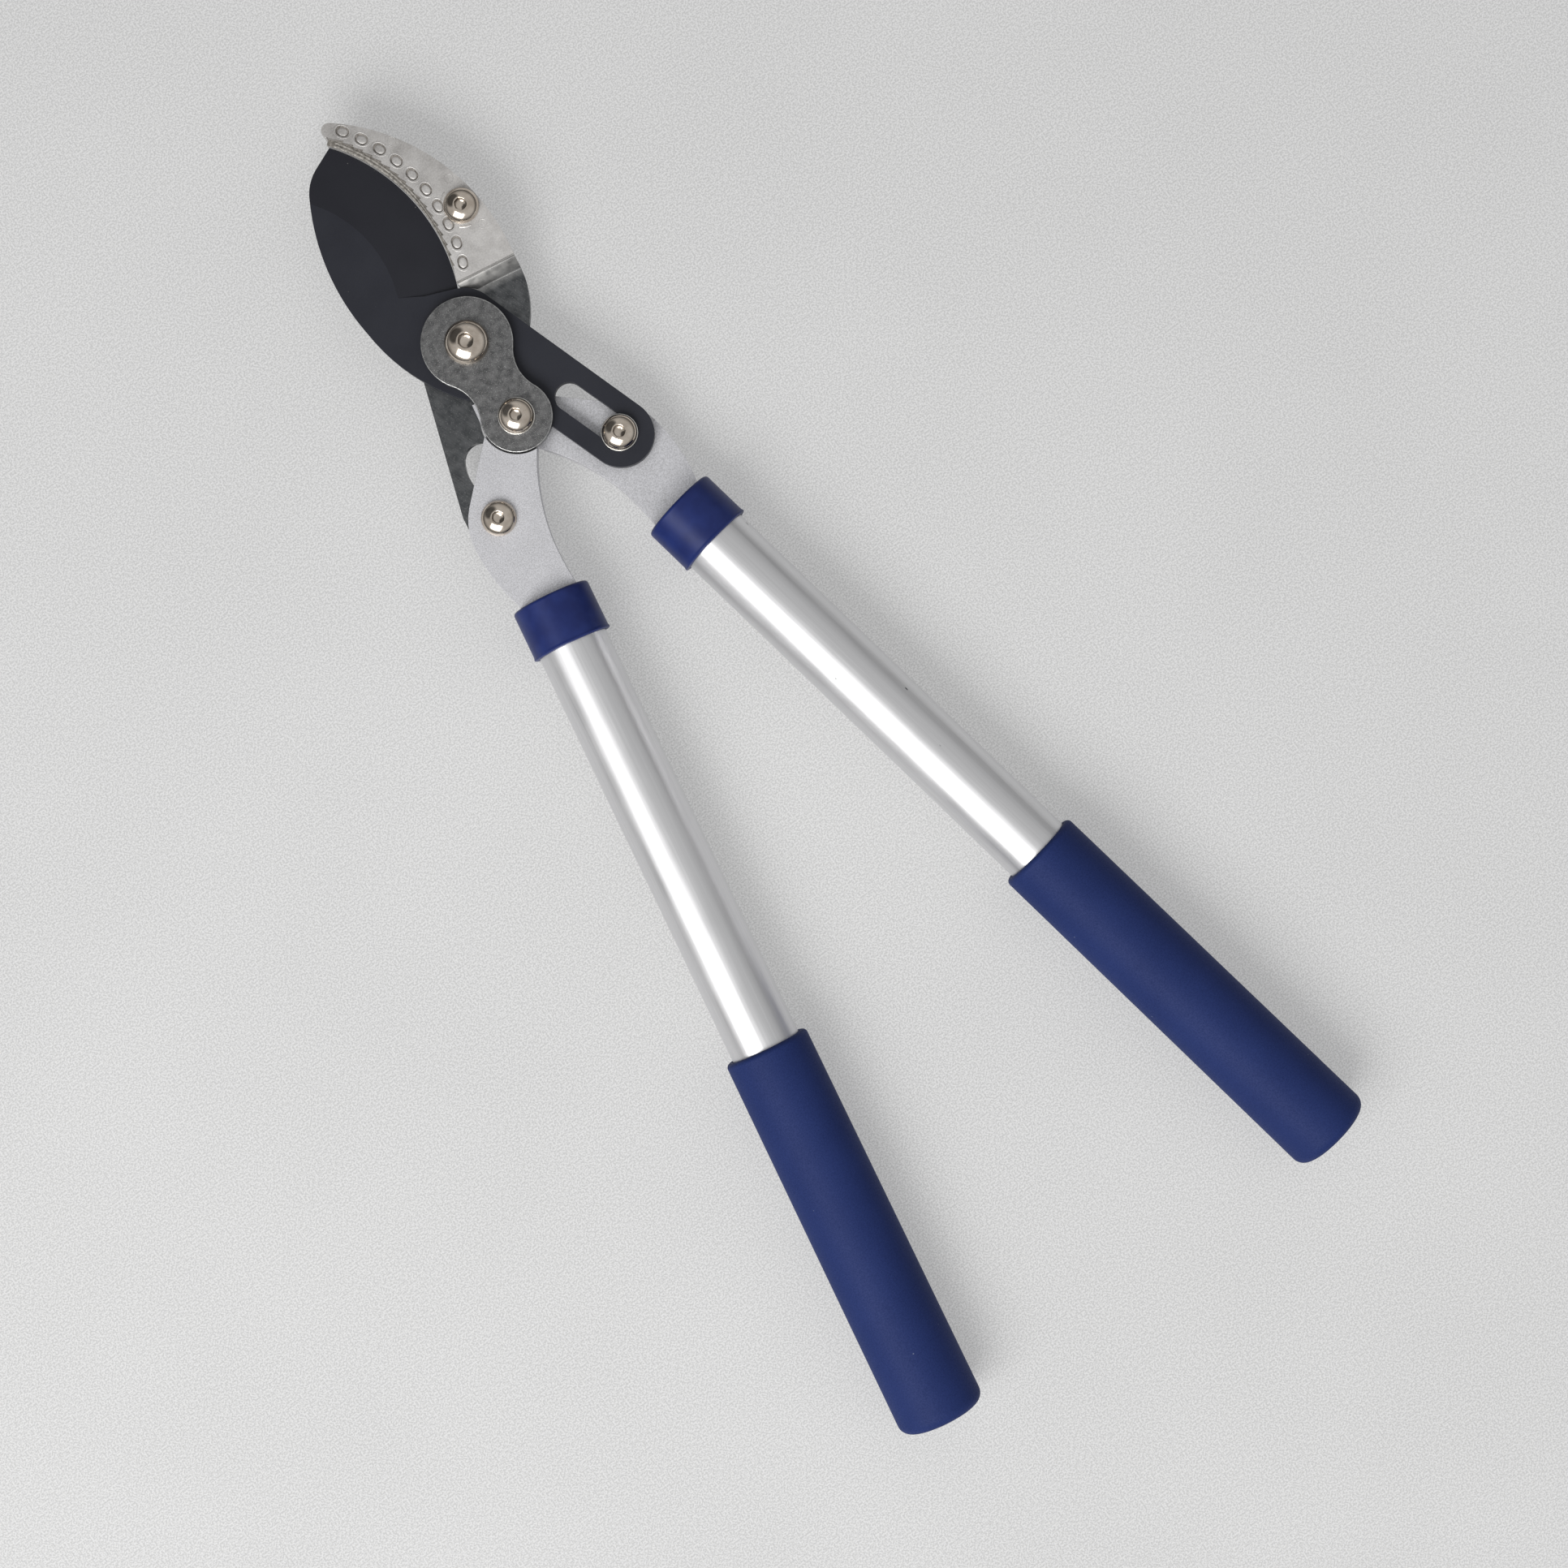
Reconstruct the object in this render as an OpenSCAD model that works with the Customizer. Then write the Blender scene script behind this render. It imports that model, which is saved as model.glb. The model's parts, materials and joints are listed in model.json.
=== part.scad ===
// Two-handed anvil loppers with a slotted, force-multiplying blade tail.
// The tool lies flat: +Y runs from the grips to the jaws, +Z is the side with the bolt heads.
// Heights called h are counted from the plane through the axes of both handle tubes.

/* [Handles] */
// Outside diameter of the handle tubes
tube_d = 28.5; // [23:0.5:35]
// Wall of the handle tubes
tube_wall = 1.5; // [1:0.1:2.5]
// Length of each handle tube
tube_len = 351.5; // [250:0.5:600]
// Distance from the handle pivot to the tube's top end, along the handle
tube_top = 71; // [66:0.5:90]
// Sideways distance from the handle pivot to the tube's axis
handle_offset = 19.2; // [15:0.1:24]
// Angle between the two handles when the jaws are shut
splay = 20.5; // [10:0.5:30]
// Length of the soft grips
grip_len = 162.5; // [100:0.5:220]
// Wall of the grips at the jaw end
grip_wall = 3.05; // [1.5:0.05:6]
// How much the grips' radius grows towards the butt
grip_flare = 0.4; // [0:0.1:2]
// Thickness of the closed butt of the grips
grip_butt = 3.5; // [2:0.1:8]
// Rounding of the grips' butt edge
grip_round = 4.5; // [2:0.1:6]
// Length of the collars, with their end wall
collar_len = 20.8; // [14:0.1:30]
// Wall of the collars at the jaw end
collar_wall = 1.7; // [1:0.05:3]
// How much the collars' radius grows towards the grips
collar_flare = 0.3; // [0:0.05:1]
// Thickness of the collars' end wall
collar_lip = 2.4; // [1:0.1:5]
// Length of the head's round spigot inside the tube
spigot_len = 42; // [25:1:80]
// Diameter of the spring pins that hold the tubes on
tube_pin_d = 5; // [3:0.5:8]
// Thickness of the end plug's flange
plug_flange = 1.5; // [1:0.1:3]
// Depth of the end plug inside the tube
plug_depth = 12; // [6:1:25]

/* [Handle heads] */
// Thickness of the cast heads
head_t = 8.5; // [7:0.1:11]
// Radius of the head's eye round the handle pivot
eye_r = 11.5; // [9.5:0.1:12]
// Sideways distance from the handle pivot to the head's second hole
hole_out = 23.5; // [20:0.1:28]
// Distance from the handle pivot to the head's second hole, along the handle
hole_down = 33; // [29:0.1:36]
// Metal round the head's second hole on the outer side
hole_rim = 13.5; // [10:0.1:16]
// How far the neck stands inside the tube's outer surface, on each side
neck_inset = 2.35; // [2:0.05:5]

/* [Linkage] */
// Distance between the handle pivot and the blade pivot
pivot_spacing = 34.7; // [33:0.1:42]
// Lean of the line between the two pivots towards the right handle
link_lean = 1.8; // [-3:0.1:5]
// Thickness of the front link plate
link_t = 4; // [2.5:0.1:6]
// Radius of the link plate's end at the blade pivot
link_big_r = 18.2; // [15:0.1:21]
// Radius of the link plate's end at the handle pivot
link_small_r = 14.2; // [12:0.1:16]
// Radius of the link plate's waist
link_waist_r = 16.3; // [12:0.1:30]

/* [Blade] */
// Thickness of the blade
blade_t = 4.6; // [3:0.1:6]
// Radius of the cutting edge
edge_r = 74.2; // [70:0.1:80]
// Width of the ground bevel
bevel_w = 23.6; // [10:0.1:26]
// Thickness left at the cutting edge
edge_t = 0.6; // [0.3:0.1:2]
// Turn of the slotted tail away from the tool's centre line
tail_angle = 18.6; // [15:0.1:22]
// Half the width of the slotted tail
tail_r = 13.2; // [11:0.1:15]
// Width of the slot in the tail
slot_w = 11.5; // [9:0.1:14]
// Travel that the slot gives the slot bolt
slot_travel = 24.4; // [22:0.1:28]

/* [Anvil] */
// Thickness of the steel arm
arm_t = 4.6; // [3:0.1:6]
// Radius of the steel arm round the blade pivot
arm_eye_r = 15.5; // [12:0.1:15.6]
// Thickness of the cast anvil pad
pad_t = 12; // [9:0.1:16]
// Radius of the anvil pad's back
pad_back_r = 84.3; // [82:0.1:87]
// Radius of the row of teeth
teeth_r = 71.6; // [70.5:0.1:72.5]
// Number of teeth along each row
teeth = 17; // [8:1:24]
// Depth of the teeth
tooth_depth = 0.7; // [0.4:0.1:1.4]
// Number of dimples along the row
dimples = 10; // [4:1:11]
// Half the width of each oval dimple
dimple_r = 2.05; // [1:0.05:2.6]
// How much longer than wide each dimple is
dimple_stretch = 1.3; // [0:0.1:2]
// Depth of each dimple
dimple_depth = 0.7; // [0.3:0.1:1.5]
// Play between the shut blade and the anvil
edge_gap = 0.35; // [0.2:0.05:1]

/* [Fasteners] */
// Diameter of the blade pivot's bolt
main_bolt_d = 10; // [8:0.5:12]
// Diameter of the other bolts
bolt_d = 8; // [6:0.5:9]
// Outside diameter of the blade pivot's bush
main_bush_d = 14; // [13:0.5:16]
// Outside diameter of the handle pivot's bush
handle_bush_d = 12; // [10.5:0.5:13]
// Thickness of the washers under the nuts
washer_t = 1.4; // [1:0.1:2]
// Thickness of the washers under the bolt heads
thin_washer_t = 0.9; // [0.5:0.1:1.2]

/* [Clearances] */
// Gap between flat faces that slide past each other
slip = 0.25; // [0.2:0.05:0.5]
// Radial gap of a turning fit
run_gap = 0.05; // [0.02:0.01:0.1]
// Radial gap of a fixed fit
fit_gap = 0.1; // [0.05:0.05:0.3]
// Gap between parts that swing past each other
swing_gap = 0.6; // [0.4:0.1:1.5]

/* [Hidden] */
$fn = 96;

function turned(a, p) = [p.x * cos(a) - p.y * sin(a), p.x * sin(a) + p.y * cos(a)];

// Centre of the circle through three points
function centre3(a, b, c) =
  let (d = 2 * cross(b - a, c - a), u = (b - a) * (b - a), v = (c - a) * (c - a))
  a + [u * (c - a).y - v * (b - a).y, v * (b - a).x - u * (c - a).x] / d;

// Points of the arc from a through b to c, without c itself
function arc3(a, b, c, n = 10) =
  let (
    o = centre3(a, b, c),
    r = norm(a - o),
    start = atan2(a.y - o.y, a.x - o.x),
    end = atan2(c.y - o.y, c.x - o.x),
    way = cross(b - a, c - b) > 0 ? 1 : -1,
    sweep = ((way * (end - start)) % 360 + 360) % 360
  )
  [for (i = [0 : n - 1]) o + r * [cos(start + way * sweep * i / n), sin(start + way * sweep * i / n)]];

// Points on a circle from one angle to another, both included
function arc_at(centre, r, from, to, n = 12) =
  [for (i = [0 : n]) let (a = from + (to - from) * i / n) centre + r * [cos(a), sin(a)]];

// Angle of a point seen from a centre
function bearing(centre, p) = atan2(p.y - centre.y, p.x - centre.x);

// Where two circles meet, on the left of the line from the first centre to the second
function meet(c1, r1, c2, r2) =
  let (
    d = norm(c2 - c1),
    along = (d * d + r1 * r1 - r2 * r2) / (2 * d),
    aside = sqrt(r1 * r1 - along * along),
    u = (c2 - c1) / d
  )
  c1 + along * u + aside * [-u.y, u.x];

// Heights of the flat layers, from the plane of the tube axes
face_h = slip / 2;
blade_low = face_h + slip;
blade_high = blade_low + blade_t;
blade_mid = (blade_low + blade_high) / 2;
link_low = blade_high + slip;
link_high = link_low + link_t;
eye_t = link_low - face_h;
arm_low = face_h - arm_t;
head_front = face_h + head_t;
pad_low = blade_mid - pad_t / 2;
pad_high = blade_mid + pad_t / 2;

// Round sizes along the handles
tube_r = tube_d / 2;
spigot_r = tube_r - tube_wall - fit_gap;
grip_r = tube_r + fit_gap + grip_wall;
grip_butt_r = grip_r + grip_flare;
collar_r = tube_r + fit_gap + collar_wall;
collar_top = tube_top - collar_lip;
neck_half = tube_r - neck_inset;
butt_end = tube_top + tube_len + plug_flange + grip_butt;
// The spring pin sits under the middle of the collar
pin_y = -(tube_top + (collar_len - collar_lip) / 2);

// Places of the pivots and bolts, from the handle pivot
half_splay = splay / 2;
main_at = turned(-link_lean, [0, pivot_spacing]);
hole_at = [hole_out, -hole_down];
slot_bolt_at = turned(half_splay, hole_at);
arm_bolt_at = [-slot_bolt_at.x, slot_bolt_at.y];
// The blade pivot as the left head sees it
main_from_head = turned(-half_splay, [-main_at.x, main_at.y]);

// Points of the jaws, from the blade pivot
handle_from_main = -main_at;
// Farthest that the cutting edge stands out sideways
edge_out = 15.9;
edge_centre = [edge_out - edge_r, 50.4];
function on_edge(y) = [edge_centre.x + sqrt(edge_r * edge_r - (y - edge_centre.y) * (y - edge_centre.y)), y];
blade_tip = on_edge(94.9);
blade_heel = on_edge(20.2);
pad_back_centre = [-46.9, 36.3];
teeth_centre = [-53.7, 53.3];
// The teeth and the dimples run between these angles
teeth_from = -21;
teeth_to = 36;
dimple_centre = [-50.6, 53.4];
dimple_row_r = 72.9;
dimple_from = -21.7;
dimple_to = 35.3;
// The pad's round nose hangs a little below the row of teeth
nose_r = 3.1;
nose_chin = 0.5;
nose_at = meet(teeth_centre, teeth_r + nose_r - nose_chin, pad_back_centre, pad_back_r - nose_r);
anvil_screw_at = [29.6, 44.7];
// The pad's heel and the bend of the arm run along a line turned by this angle
heel_turn = -9.2;
heel_y = 23.2;
bend_start = 18.5;
bend_end = 22.5;
// Radius round the blade pivot that the blade's heel sweeps
heel_sweep_r = norm(blade_heel) + swing_gap;
// The blade's back lobe stops short of the heads' eyes
lobe_r = pivot_spacing - eye_r - swing_gap - 1;
// Wall of the pad outside the arm's finger, and where the finger ends
finger_wall = 4.2;
finger_top = heel_y + 40;
finger_low = heel_y - 3;

// Corners of the head at its eye, from the handle pivot
head_corner = [14, 12];
head_crotch = [-2, -14.2];
// The neck runs straight through the collar's end wall
neck_top = collar_top - 1;

// The slot's centre line passes through the slot bolt
slot_bolt_in_tail = turned(-tail_angle, slot_bolt_at - main_at);
slot_end_play = 0.5;
slot_bush_d = slot_w - 2 * fit_gap - 2 * slip;

// Bolt, nut and washer proportions
main_head_d = 1.75 * main_bolt_d;
main_head_h = 0.55 * main_bolt_d;
head_d = 1.75 * bolt_d;
head_h = 0.55 * bolt_d;
nut_h = 6.5;
thread_gap = 0.05;
bolt_tail = 0.4;

// The box of the whole tool, for its origin
top_y = main_at.y + nose_at.y + nose_r;
butt_y = (handle_offset - grip_butt_r + grip_round) * sin(half_splay)
  - (butt_end - grip_round) * cos(half_splay) - grip_round;
mid_y = (top_y + butt_y) / 2;

// ---------- placing ----------

// From the handle pivot at h = 0 to the tool's own frame
module tool() {
  translate([0, -mid_y, grip_butt_r])
    children();
}

// The right handle's frame: the tube runs down -Y, +X is outwards
module right_side() {
  tool()
    rotate(half_splay)
      children();
}

// The left handle is the same set of parts turned over
module left_side() {
  tool()
    rotate([0, 180, 0])
      rotate(half_splay)
        children();
}

module from_pivot(at, h) {
  tool()
    translate([at.x, at.y, h])
      children();
}

// ---------- fasteners ----------

// Domed button-head bolt with a hexagon socket, seated on h = 0
module button_bolt(d, cap_d, cap_h, reach) {
  rim = 0.18 * cap_h;
  flat_r = 0.27 * cap_d;
  sphere_z = (cap_h * cap_h + flat_r * flat_r - cap_d * cap_d / 4 - rim * rim) / (2 * (cap_h - rim));
  sphere_r = norm([cap_d / 2, rim - sphere_z]);
  low = asin((rim - sphere_z) / sphere_r);
  high = acos(flat_r / sphere_r);
  steps = 8;
  chamfer = 0.08 * d;
  difference() {
    rotate_extrude()
      polygon(concat(
        [[0, -reach], [d / 2 - chamfer, -reach], [d / 2, chamfer - reach], [d / 2, 0], [cap_d / 2, 0]],
        [for (i = [0 : steps])
          let (a = low + (high - low) * i / steps)
          [sphere_r * cos(a), sphere_z + sphere_r * sin(a)]],
        [[0, cap_h]]
      ));
    translate([0, 0, 0.4 * cap_h])
      cylinder(d = 0.62 * d / cos(30), h = cap_h, $fn = 6);
  }
}

// Lock nut whose top lies on h = 0
module lock_nut(d) {
  across = 1.62 * d;
  difference() {
    union() {
      translate([0, 0, -0.7 * nut_h])
        cylinder(d = across / cos(30), h = 0.7 * nut_h, $fn = 6);
      translate([0, 0, -nut_h])
        cylinder(d = 0.86 * across, h = nut_h);
    }
    translate([0, 0, -nut_h - 1])
      cylinder(d = d + 2 * thread_gap, h = nut_h + 2);
  }
}

module ring(inner_d, outer_d, t) {
  difference() {
    cylinder(d = outer_d, h = t);
    translate([0, 0, -1])
      cylinder(d = inner_d, h = t + 2);
  }
}

module hole(d, low, high) {
  translate([0, 0, low - 1])
    cylinder(d = d, h = high - low + 2);
}

// Reach of a bolt from its seat to just past its nut
function reach(seat, nut_top) = seat - nut_top + nut_h + bolt_tail;

main_nut_top = arm_low - washer_t;
handle_nut_top = -face_h - eye_t - slip - washer_t;
slot_nut_top = -face_h - head_t - washer_t;
anvil_nut_top = pad_low - washer_t;

module main_pivot_bolt() {
  color([0.80, 0.78, 0.74])
    from_pivot(main_at, link_high)
      button_bolt(main_bolt_d, main_head_d, main_head_h, reach(link_high, main_nut_top));
}

module main_pivot_bush() {
  color([0.72, 0.60, 0.38])
    from_pivot(main_at, face_h)
      ring(main_bolt_d + 2 * fit_gap, main_bush_d, eye_t);
}

module main_pivot_nut() {
  color([0.70, 0.70, 0.70])
    from_pivot(main_at, main_nut_top)
      lock_nut(main_bolt_d);
}

module handle_pivot_bolt() {
  seat = link_high + thin_washer_t;
  color([0.80, 0.78, 0.74])
    from_pivot([0, 0], seat)
      button_bolt(bolt_d, head_d, head_h, reach(seat, handle_nut_top));
}

module handle_pivot_bush() {
  color([0.72, 0.60, 0.38])
    from_pivot([0, 0], -face_h - eye_t - slip)
      ring(bolt_d + 2 * fit_gap, handle_bush_d, eye_t + 2 * face_h + slip);
}

module handle_pivot_washers() {
  color([0.85, 0.85, 0.85]) {
    from_pivot([0, 0], link_high)
      ring(bolt_d + 2 * fit_gap, 1.05 * head_d, thin_washer_t);
    from_pivot([0, 0], handle_nut_top)
      ring(bolt_d + 2 * fit_gap, 2.3 * bolt_d, washer_t);
  }
}

module handle_pivot_nut() {
  color([0.70, 0.70, 0.70])
    from_pivot([0, 0], handle_nut_top)
      lock_nut(bolt_d);
}

module arm_bolt() {
  color([0.80, 0.78, 0.74])
    from_pivot(arm_bolt_at, head_front)
      button_bolt(bolt_d, head_d, head_h, reach(head_front, main_nut_top));
}

module arm_nut() {
  color([0.70, 0.70, 0.70])
    from_pivot(arm_bolt_at, main_nut_top)
      lock_nut(bolt_d);
}

module slot_bolt() {
  seat = link_low + thin_washer_t;
  color([0.80, 0.78, 0.74])
    from_pivot(slot_bolt_at, seat)
      button_bolt(bolt_d, head_d, head_h, reach(seat, slot_nut_top));
}

// The hard bush that slides in the blade's slot
module slot_bush() {
  color([0.60, 0.60, 0.60])
    from_pivot(slot_bolt_at, -face_h)
      ring(bolt_d + 2 * fit_gap, slot_bush_d, link_low + face_h);
}

module slot_washers() {
  color([0.85, 0.85, 0.85]) {
    from_pivot(slot_bolt_at, link_low)
      ring(bolt_d + 2 * fit_gap, 1.05 * head_d, thin_washer_t);
    from_pivot(slot_bolt_at, slot_nut_top)
      ring(bolt_d + 2 * fit_gap, 2 * bolt_d, washer_t);
  }
}

module slot_nut() {
  color([0.70, 0.70, 0.70])
    from_pivot(slot_bolt_at, slot_nut_top)
      lock_nut(bolt_d);
}

module anvil_screw() {
  color([0.80, 0.78, 0.74])
    from_pivot(main_at + anvil_screw_at, pad_high)
      button_bolt(bolt_d, head_d, head_h, reach(pad_high, anvil_nut_top));
}

module anvil_nut() {
  color([0.70, 0.70, 0.70])
    from_pivot(main_at + anvil_screw_at, anvil_nut_top)
      lock_nut(bolt_d);
}

// Washers under the nuts of the blade pivot, the arm bolt and the anvil screw
module back_washers() {
  color([0.75, 0.75, 0.75]) {
    from_pivot(main_at, main_nut_top)
      ring(main_bolt_d + 2 * fit_gap, 2.1 * main_bolt_d, washer_t);
    from_pivot(arm_bolt_at, main_nut_top)
      ring(bolt_d + 2 * fit_gap, 2 * bolt_d, washer_t);
    from_pivot(main_at + anvil_screw_at, anvil_nut_top)
      ring(bolt_d + 2 * fit_gap, 2 * bolt_d, washer_t);
  }
}

// ---------- blade, from the blade pivot ----------

function in_tail(p) = turned(tail_angle, p);

tail_x = slot_bolt_in_tail.x;
tail_end_y = slot_bolt_in_tail.y - slot_end_play;

module blade_outline() {
  outer = tail_x + tail_r;
  inner = tail_x - tail_r;
  polygon(concat(
    arc_at(edge_centre, edge_r, bearing(edge_centre, blade_tip), bearing(edge_centre, blade_heel), 28),
    arc3(blade_heel, [16.6, 13.1], in_tail([outer, 2]), 8),
    arc3(in_tail([outer, tail_end_y]), in_tail([tail_x, tail_end_y - tail_r]), in_tail([inner, tail_end_y]), 24),
    [in_tail([inner, tail_end_y]), in_tail([inner, -32])],
    arc_at([0, 0], lobe_r, -70, -128, 12),
    arc3(lobe_r * [cos(-129), sin(-129)], [-24.5, 2.5], [-29.6, 27], 10),
    arc3([-29.6, 27], [-28.2, 53.5], [-17.4, 82], 16),
    arc3([-17.4, 82], [-13.6, 87.2], [-8.6, 90.7], 6),
    [[-8.6, 90.7]]
  ));
}

// The slot that the bush slides in
module slot_cut() {
  r = slot_w / 2;
  travel = slot_travel + slot_end_play;
  rotate(tail_angle)
    translate([tail_x, tail_end_y, 0]) {
      hole(slot_w, 0, blade_t);
      translate([0, travel, 0])
        hole(slot_w, 0, blade_t);
      translate([-r, 0, -1])
        cube([slot_w, travel, blade_t + 2]);
    }
}

// Hollow cone that grinds one face down towards the cutting edge
module bevel_cutter() {
  inner = edge_r - bevel_w;
  drop = (blade_t - edge_t) / 2;
  beyond = 4;
  intersection() {
    translate([edge_centre.x, edge_centre.y, 0])
      rotate_extrude($fn = 180)
        polygon([
          [inner, 0],
          [edge_r + beyond, -drop * (bevel_w + beyond) / bevel_w],
          [edge_r + beyond, 1],
          [inner, 1]
        ]);
    translate([0, 0, -blade_t])
      linear_extrude(2 * blade_t)
        polygon([[-45, 51], [-10.4, 30], [-2.8, 25.3], [10.4, 19.9], [40, 22], [40, 110], [-45, 110]]);
  }
}

module blade() {
  color([0.17, 0.18, 0.21])
    from_pivot(main_at, blade_low)
      difference() {
        linear_extrude(blade_t)
          blade_outline();
        hole(main_bush_d + 2 * run_gap, 0, blade_t);
        slot_cut();
        translate([handle_from_main.x, handle_from_main.y, 0])
          hole(2 * (eye_r + swing_gap), 0, blade_t);
        translate([0, 0, blade_t])
          bevel_cutter();
        mirror([0, 0, 1])
          bevel_cutter();
      }
}

// ---------- anvil arm and pad, from the blade pivot ----------

// Where a circle meets the line that runs along the pad's heel, at height y of that line's frame
function on_heel_line(centre, r, y) =
  let (c = turned(-heel_turn, centre))
  turned(heel_turn, [c.x + sqrt(r * r - (y - c.y) * (y - c.y)), y]);

// Points of a circle between two heights above the heel line
function rim(centre, r, y1, y2, n = 16) =
  arc_at(centre, r, bearing(centre, on_heel_line(centre, r, y1)), bearing(centre, on_heel_line(centre, r, y2)), n);

// The pad's outline: round back, round nose and the row of teeth
module pad_outline() {
  back_heel = on_heel_line(pad_back_centre, pad_back_r, heel_y);
  nose_out = bearing(pad_back_centre, nose_at);
  nose_in = bearing(teeth_centre, nose_at);
  teeth_heel = on_heel_line(teeth_centre, teeth_r, heel_y);
  polygon(concat(
    arc_at(pad_back_centre, pad_back_r, bearing(pad_back_centre, back_heel), nose_out, 30),
    arc_at(nose_at, nose_r, nose_out, nose_in + 180, 14),
    arc_at(teeth_centre, teeth_r, nose_in, bearing(teeth_centre, teeth_heel), 28)
  ));
}

// The raised land that the edge shuts against, reaching back into the pad
module land_outline() {
  centre = edge_centre;
  r = edge_r + edge_gap;
  depth = 3;
  last = bearing(teeth_centre, nose_at);
  polygon(concat(
    arc_at(centre, r, bearing(centre, on_heel_line(centre, r, heel_y)), bearing(centre, nose_at), 28),
    [nose_at],
    arc_at(teeth_centre, teeth_r + depth, last, bearing(teeth_centre, on_heel_line(teeth_centre, teeth_r + depth, heel_y)), 20)
  ));
}

// One row of saw teeth cut into the pad's inner rim
module teeth_cut() {
  pitch = (teeth_to - teeth_from) / teeth;
  for (i = [0 : teeth - 1])
    translate(teeth_centre)
      rotate(teeth_from + pitch * i)
        polygon([
          [teeth_r - 1, 0],
          [teeth_r + tooth_depth, 0],
          turned(0.8 * pitch, [teeth_r - 0.05, 0]),
          turned(0.8 * pitch, [teeth_r - 1, 0])
        ]);
}

// The two long sides of the arm's finger inside the pad
function finger_back(low, gap) = rim(pad_back_centre, pad_back_r - finger_wall / 2 + gap, low, finger_top + gap);
function finger_front(low, gap) = rim(teeth_centre, teeth_r + finger_wall - gap, finger_top + gap, low);

// Cutter for one oval dimple, long along the row
module dimple() {
  h = dimple_depth + 1;
  for (end = [-1, 1])
    translate([0, end * dimple_stretch / 2, 0])
      cylinder(r = dimple_r, h = h, $fn = 36);
  translate([-dimple_r, -dimple_stretch / 2, 0])
    cube([2 * dimple_r, dimple_stretch, h]);
}

module anvil_pad() {
  color([0.66, 0.65, 0.63])
    from_pivot(main_at, 0)
      difference() {
        union() {
          difference() {
            translate([0, 0, pad_low])
              linear_extrude(pad_t)
                pad_outline();
            translate([0, 0, pad_low - 1])
              linear_extrude(pad_t + 2)
                teeth_cut();
          }
          translate([0, 0, blade_low])
            linear_extrude(blade_t)
              land_outline();
        }
        translate([0, 0, blade_mid - arm_t / 2 - fit_gap])
          linear_extrude(arm_t + 2 * fit_gap)
            polygon(concat(finger_back(finger_low, fit_gap), finger_front(finger_low, fit_gap)));
        translate([0, 0, pad_low - 1])
          cylinder(r = heel_sweep_r, h = pad_t + 2);
        translate([anvil_screw_at.x, anvil_screw_at.y, 0])
          hole(bolt_d + 2 * fit_gap, pad_low, pad_high);
        for (i = [0 : dimples - 1])
          translate([dimple_centre.x, dimple_centre.y, pad_high - dimple_depth])
            rotate(dimple_to - (dimple_to - dimple_from) / (dimples - 1) * i)
              translate([dimple_row_r, 0, 0])
                dimple();
      }
}

// Arm seen from the front: a hook round the blade pivot, a finger for the pad and a strut to the left head
module arm_outline() {
  bolt_from_main = arm_bolt_at - main_at;
  strut_r = hole_rim - 0.5;
  notch = handle_from_main + [-16, 0.2];
  shoulder = on_heel_line(pad_back_centre, pad_back_r, heel_y - fit_gap);
  polygon(concat(
    finger_front(heel_y - fit_gap, 0),
    [on_heel_line(teeth_centre, teeth_r + fit_gap, heel_y - fit_gap), blade_heel + [1.45, 0.1], [7, 21], [-2, 19.4]],
    arc3([-2, 19.4], [-15, 12.5], [-23.1, -1.5], 6),
    [[-23.1, -1.5], bolt_from_main + [-11.7, 9.4]],
    arc_at(bolt_from_main, strut_r, 172, 385, 20),
    arc3(notch + [-13.6, -12], notch + [-13, -5.4], notch + [-10.6, -0.4], 5),
    arc3(notch + [-10.6, -0.4], notch + [-4.6, 2.1], notch, 6),
    [notch, handle_from_main + [0, 10]],
    arc3(arm_eye_r * [cos(-65), sin(-65)], [18, -12.4], [24.4, -6.5], 6),
    arc3([24.4, -6.5], [31.7, 4.3], shoulder, 8),
    [shoulder],
    finger_back(heel_y - fit_gap, 0)
  ));
}

// The room that the right head's eye swings through
module eye_swing_cut() {
  crotch_r = norm(head_crotch) + 1.8 * swing_gap;
  corner_r = norm(head_corner) + swing_gap;
  translate([handle_from_main.x, handle_from_main.y, arm_low - 1]) {
    cylinder(r = crotch_r, h = arm_t + 2);
    // the corner swings up to the left when the handles are wide open
    intersection() {
      cylinder(r = corner_r, h = arm_t + 2);
      translate([-0.45 * corner_r, 0, 0])
        cube([2 * corner_r, corner_r, arm_t + 2]);
    }
  }
}

// Arm seen from the side: its front end steps forward into the blade's plane
module arm_profile() {
  step = blade_mid - arm_t / 2;
  polygon([
    [-200, arm_low], [bend_start, arm_low], [bend_end, step], [200, step],
    [200, step + arm_t], [bend_end, step + arm_t], [bend_start, face_h], [-200, face_h]
  ]);
}

module anvil_arm() {
  bolt_from_main = arm_bolt_at - main_at;
  color([0.36, 0.37, 0.38])
    from_pivot(main_at, 0)
      difference() {
        intersection() {
          translate([0, 0, arm_low - 1])
            linear_extrude(pad_t + arm_t)
              arm_outline();
          rotate(heel_turn)
            rotate([90, 0, 90])
              translate([0, 0, -150])
                linear_extrude(300)
                  arm_profile();
        }
        eye_swing_cut();
        translate([0, 0, face_h])
          cylinder(r = heel_sweep_r, h = pad_t);
        hole(main_bolt_d + 2 * fit_gap, arm_low, face_h);
        translate([bolt_from_main.x, bolt_from_main.y, 0])
          hole(bolt_d + 2 * fit_gap, arm_low, face_h);
        translate([anvil_screw_at.x, anvil_screw_at.y, 0])
          hole(bolt_d + 2 * fit_gap, arm_low, pad_high);
      }
}

// ---------- link plate ----------

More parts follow.
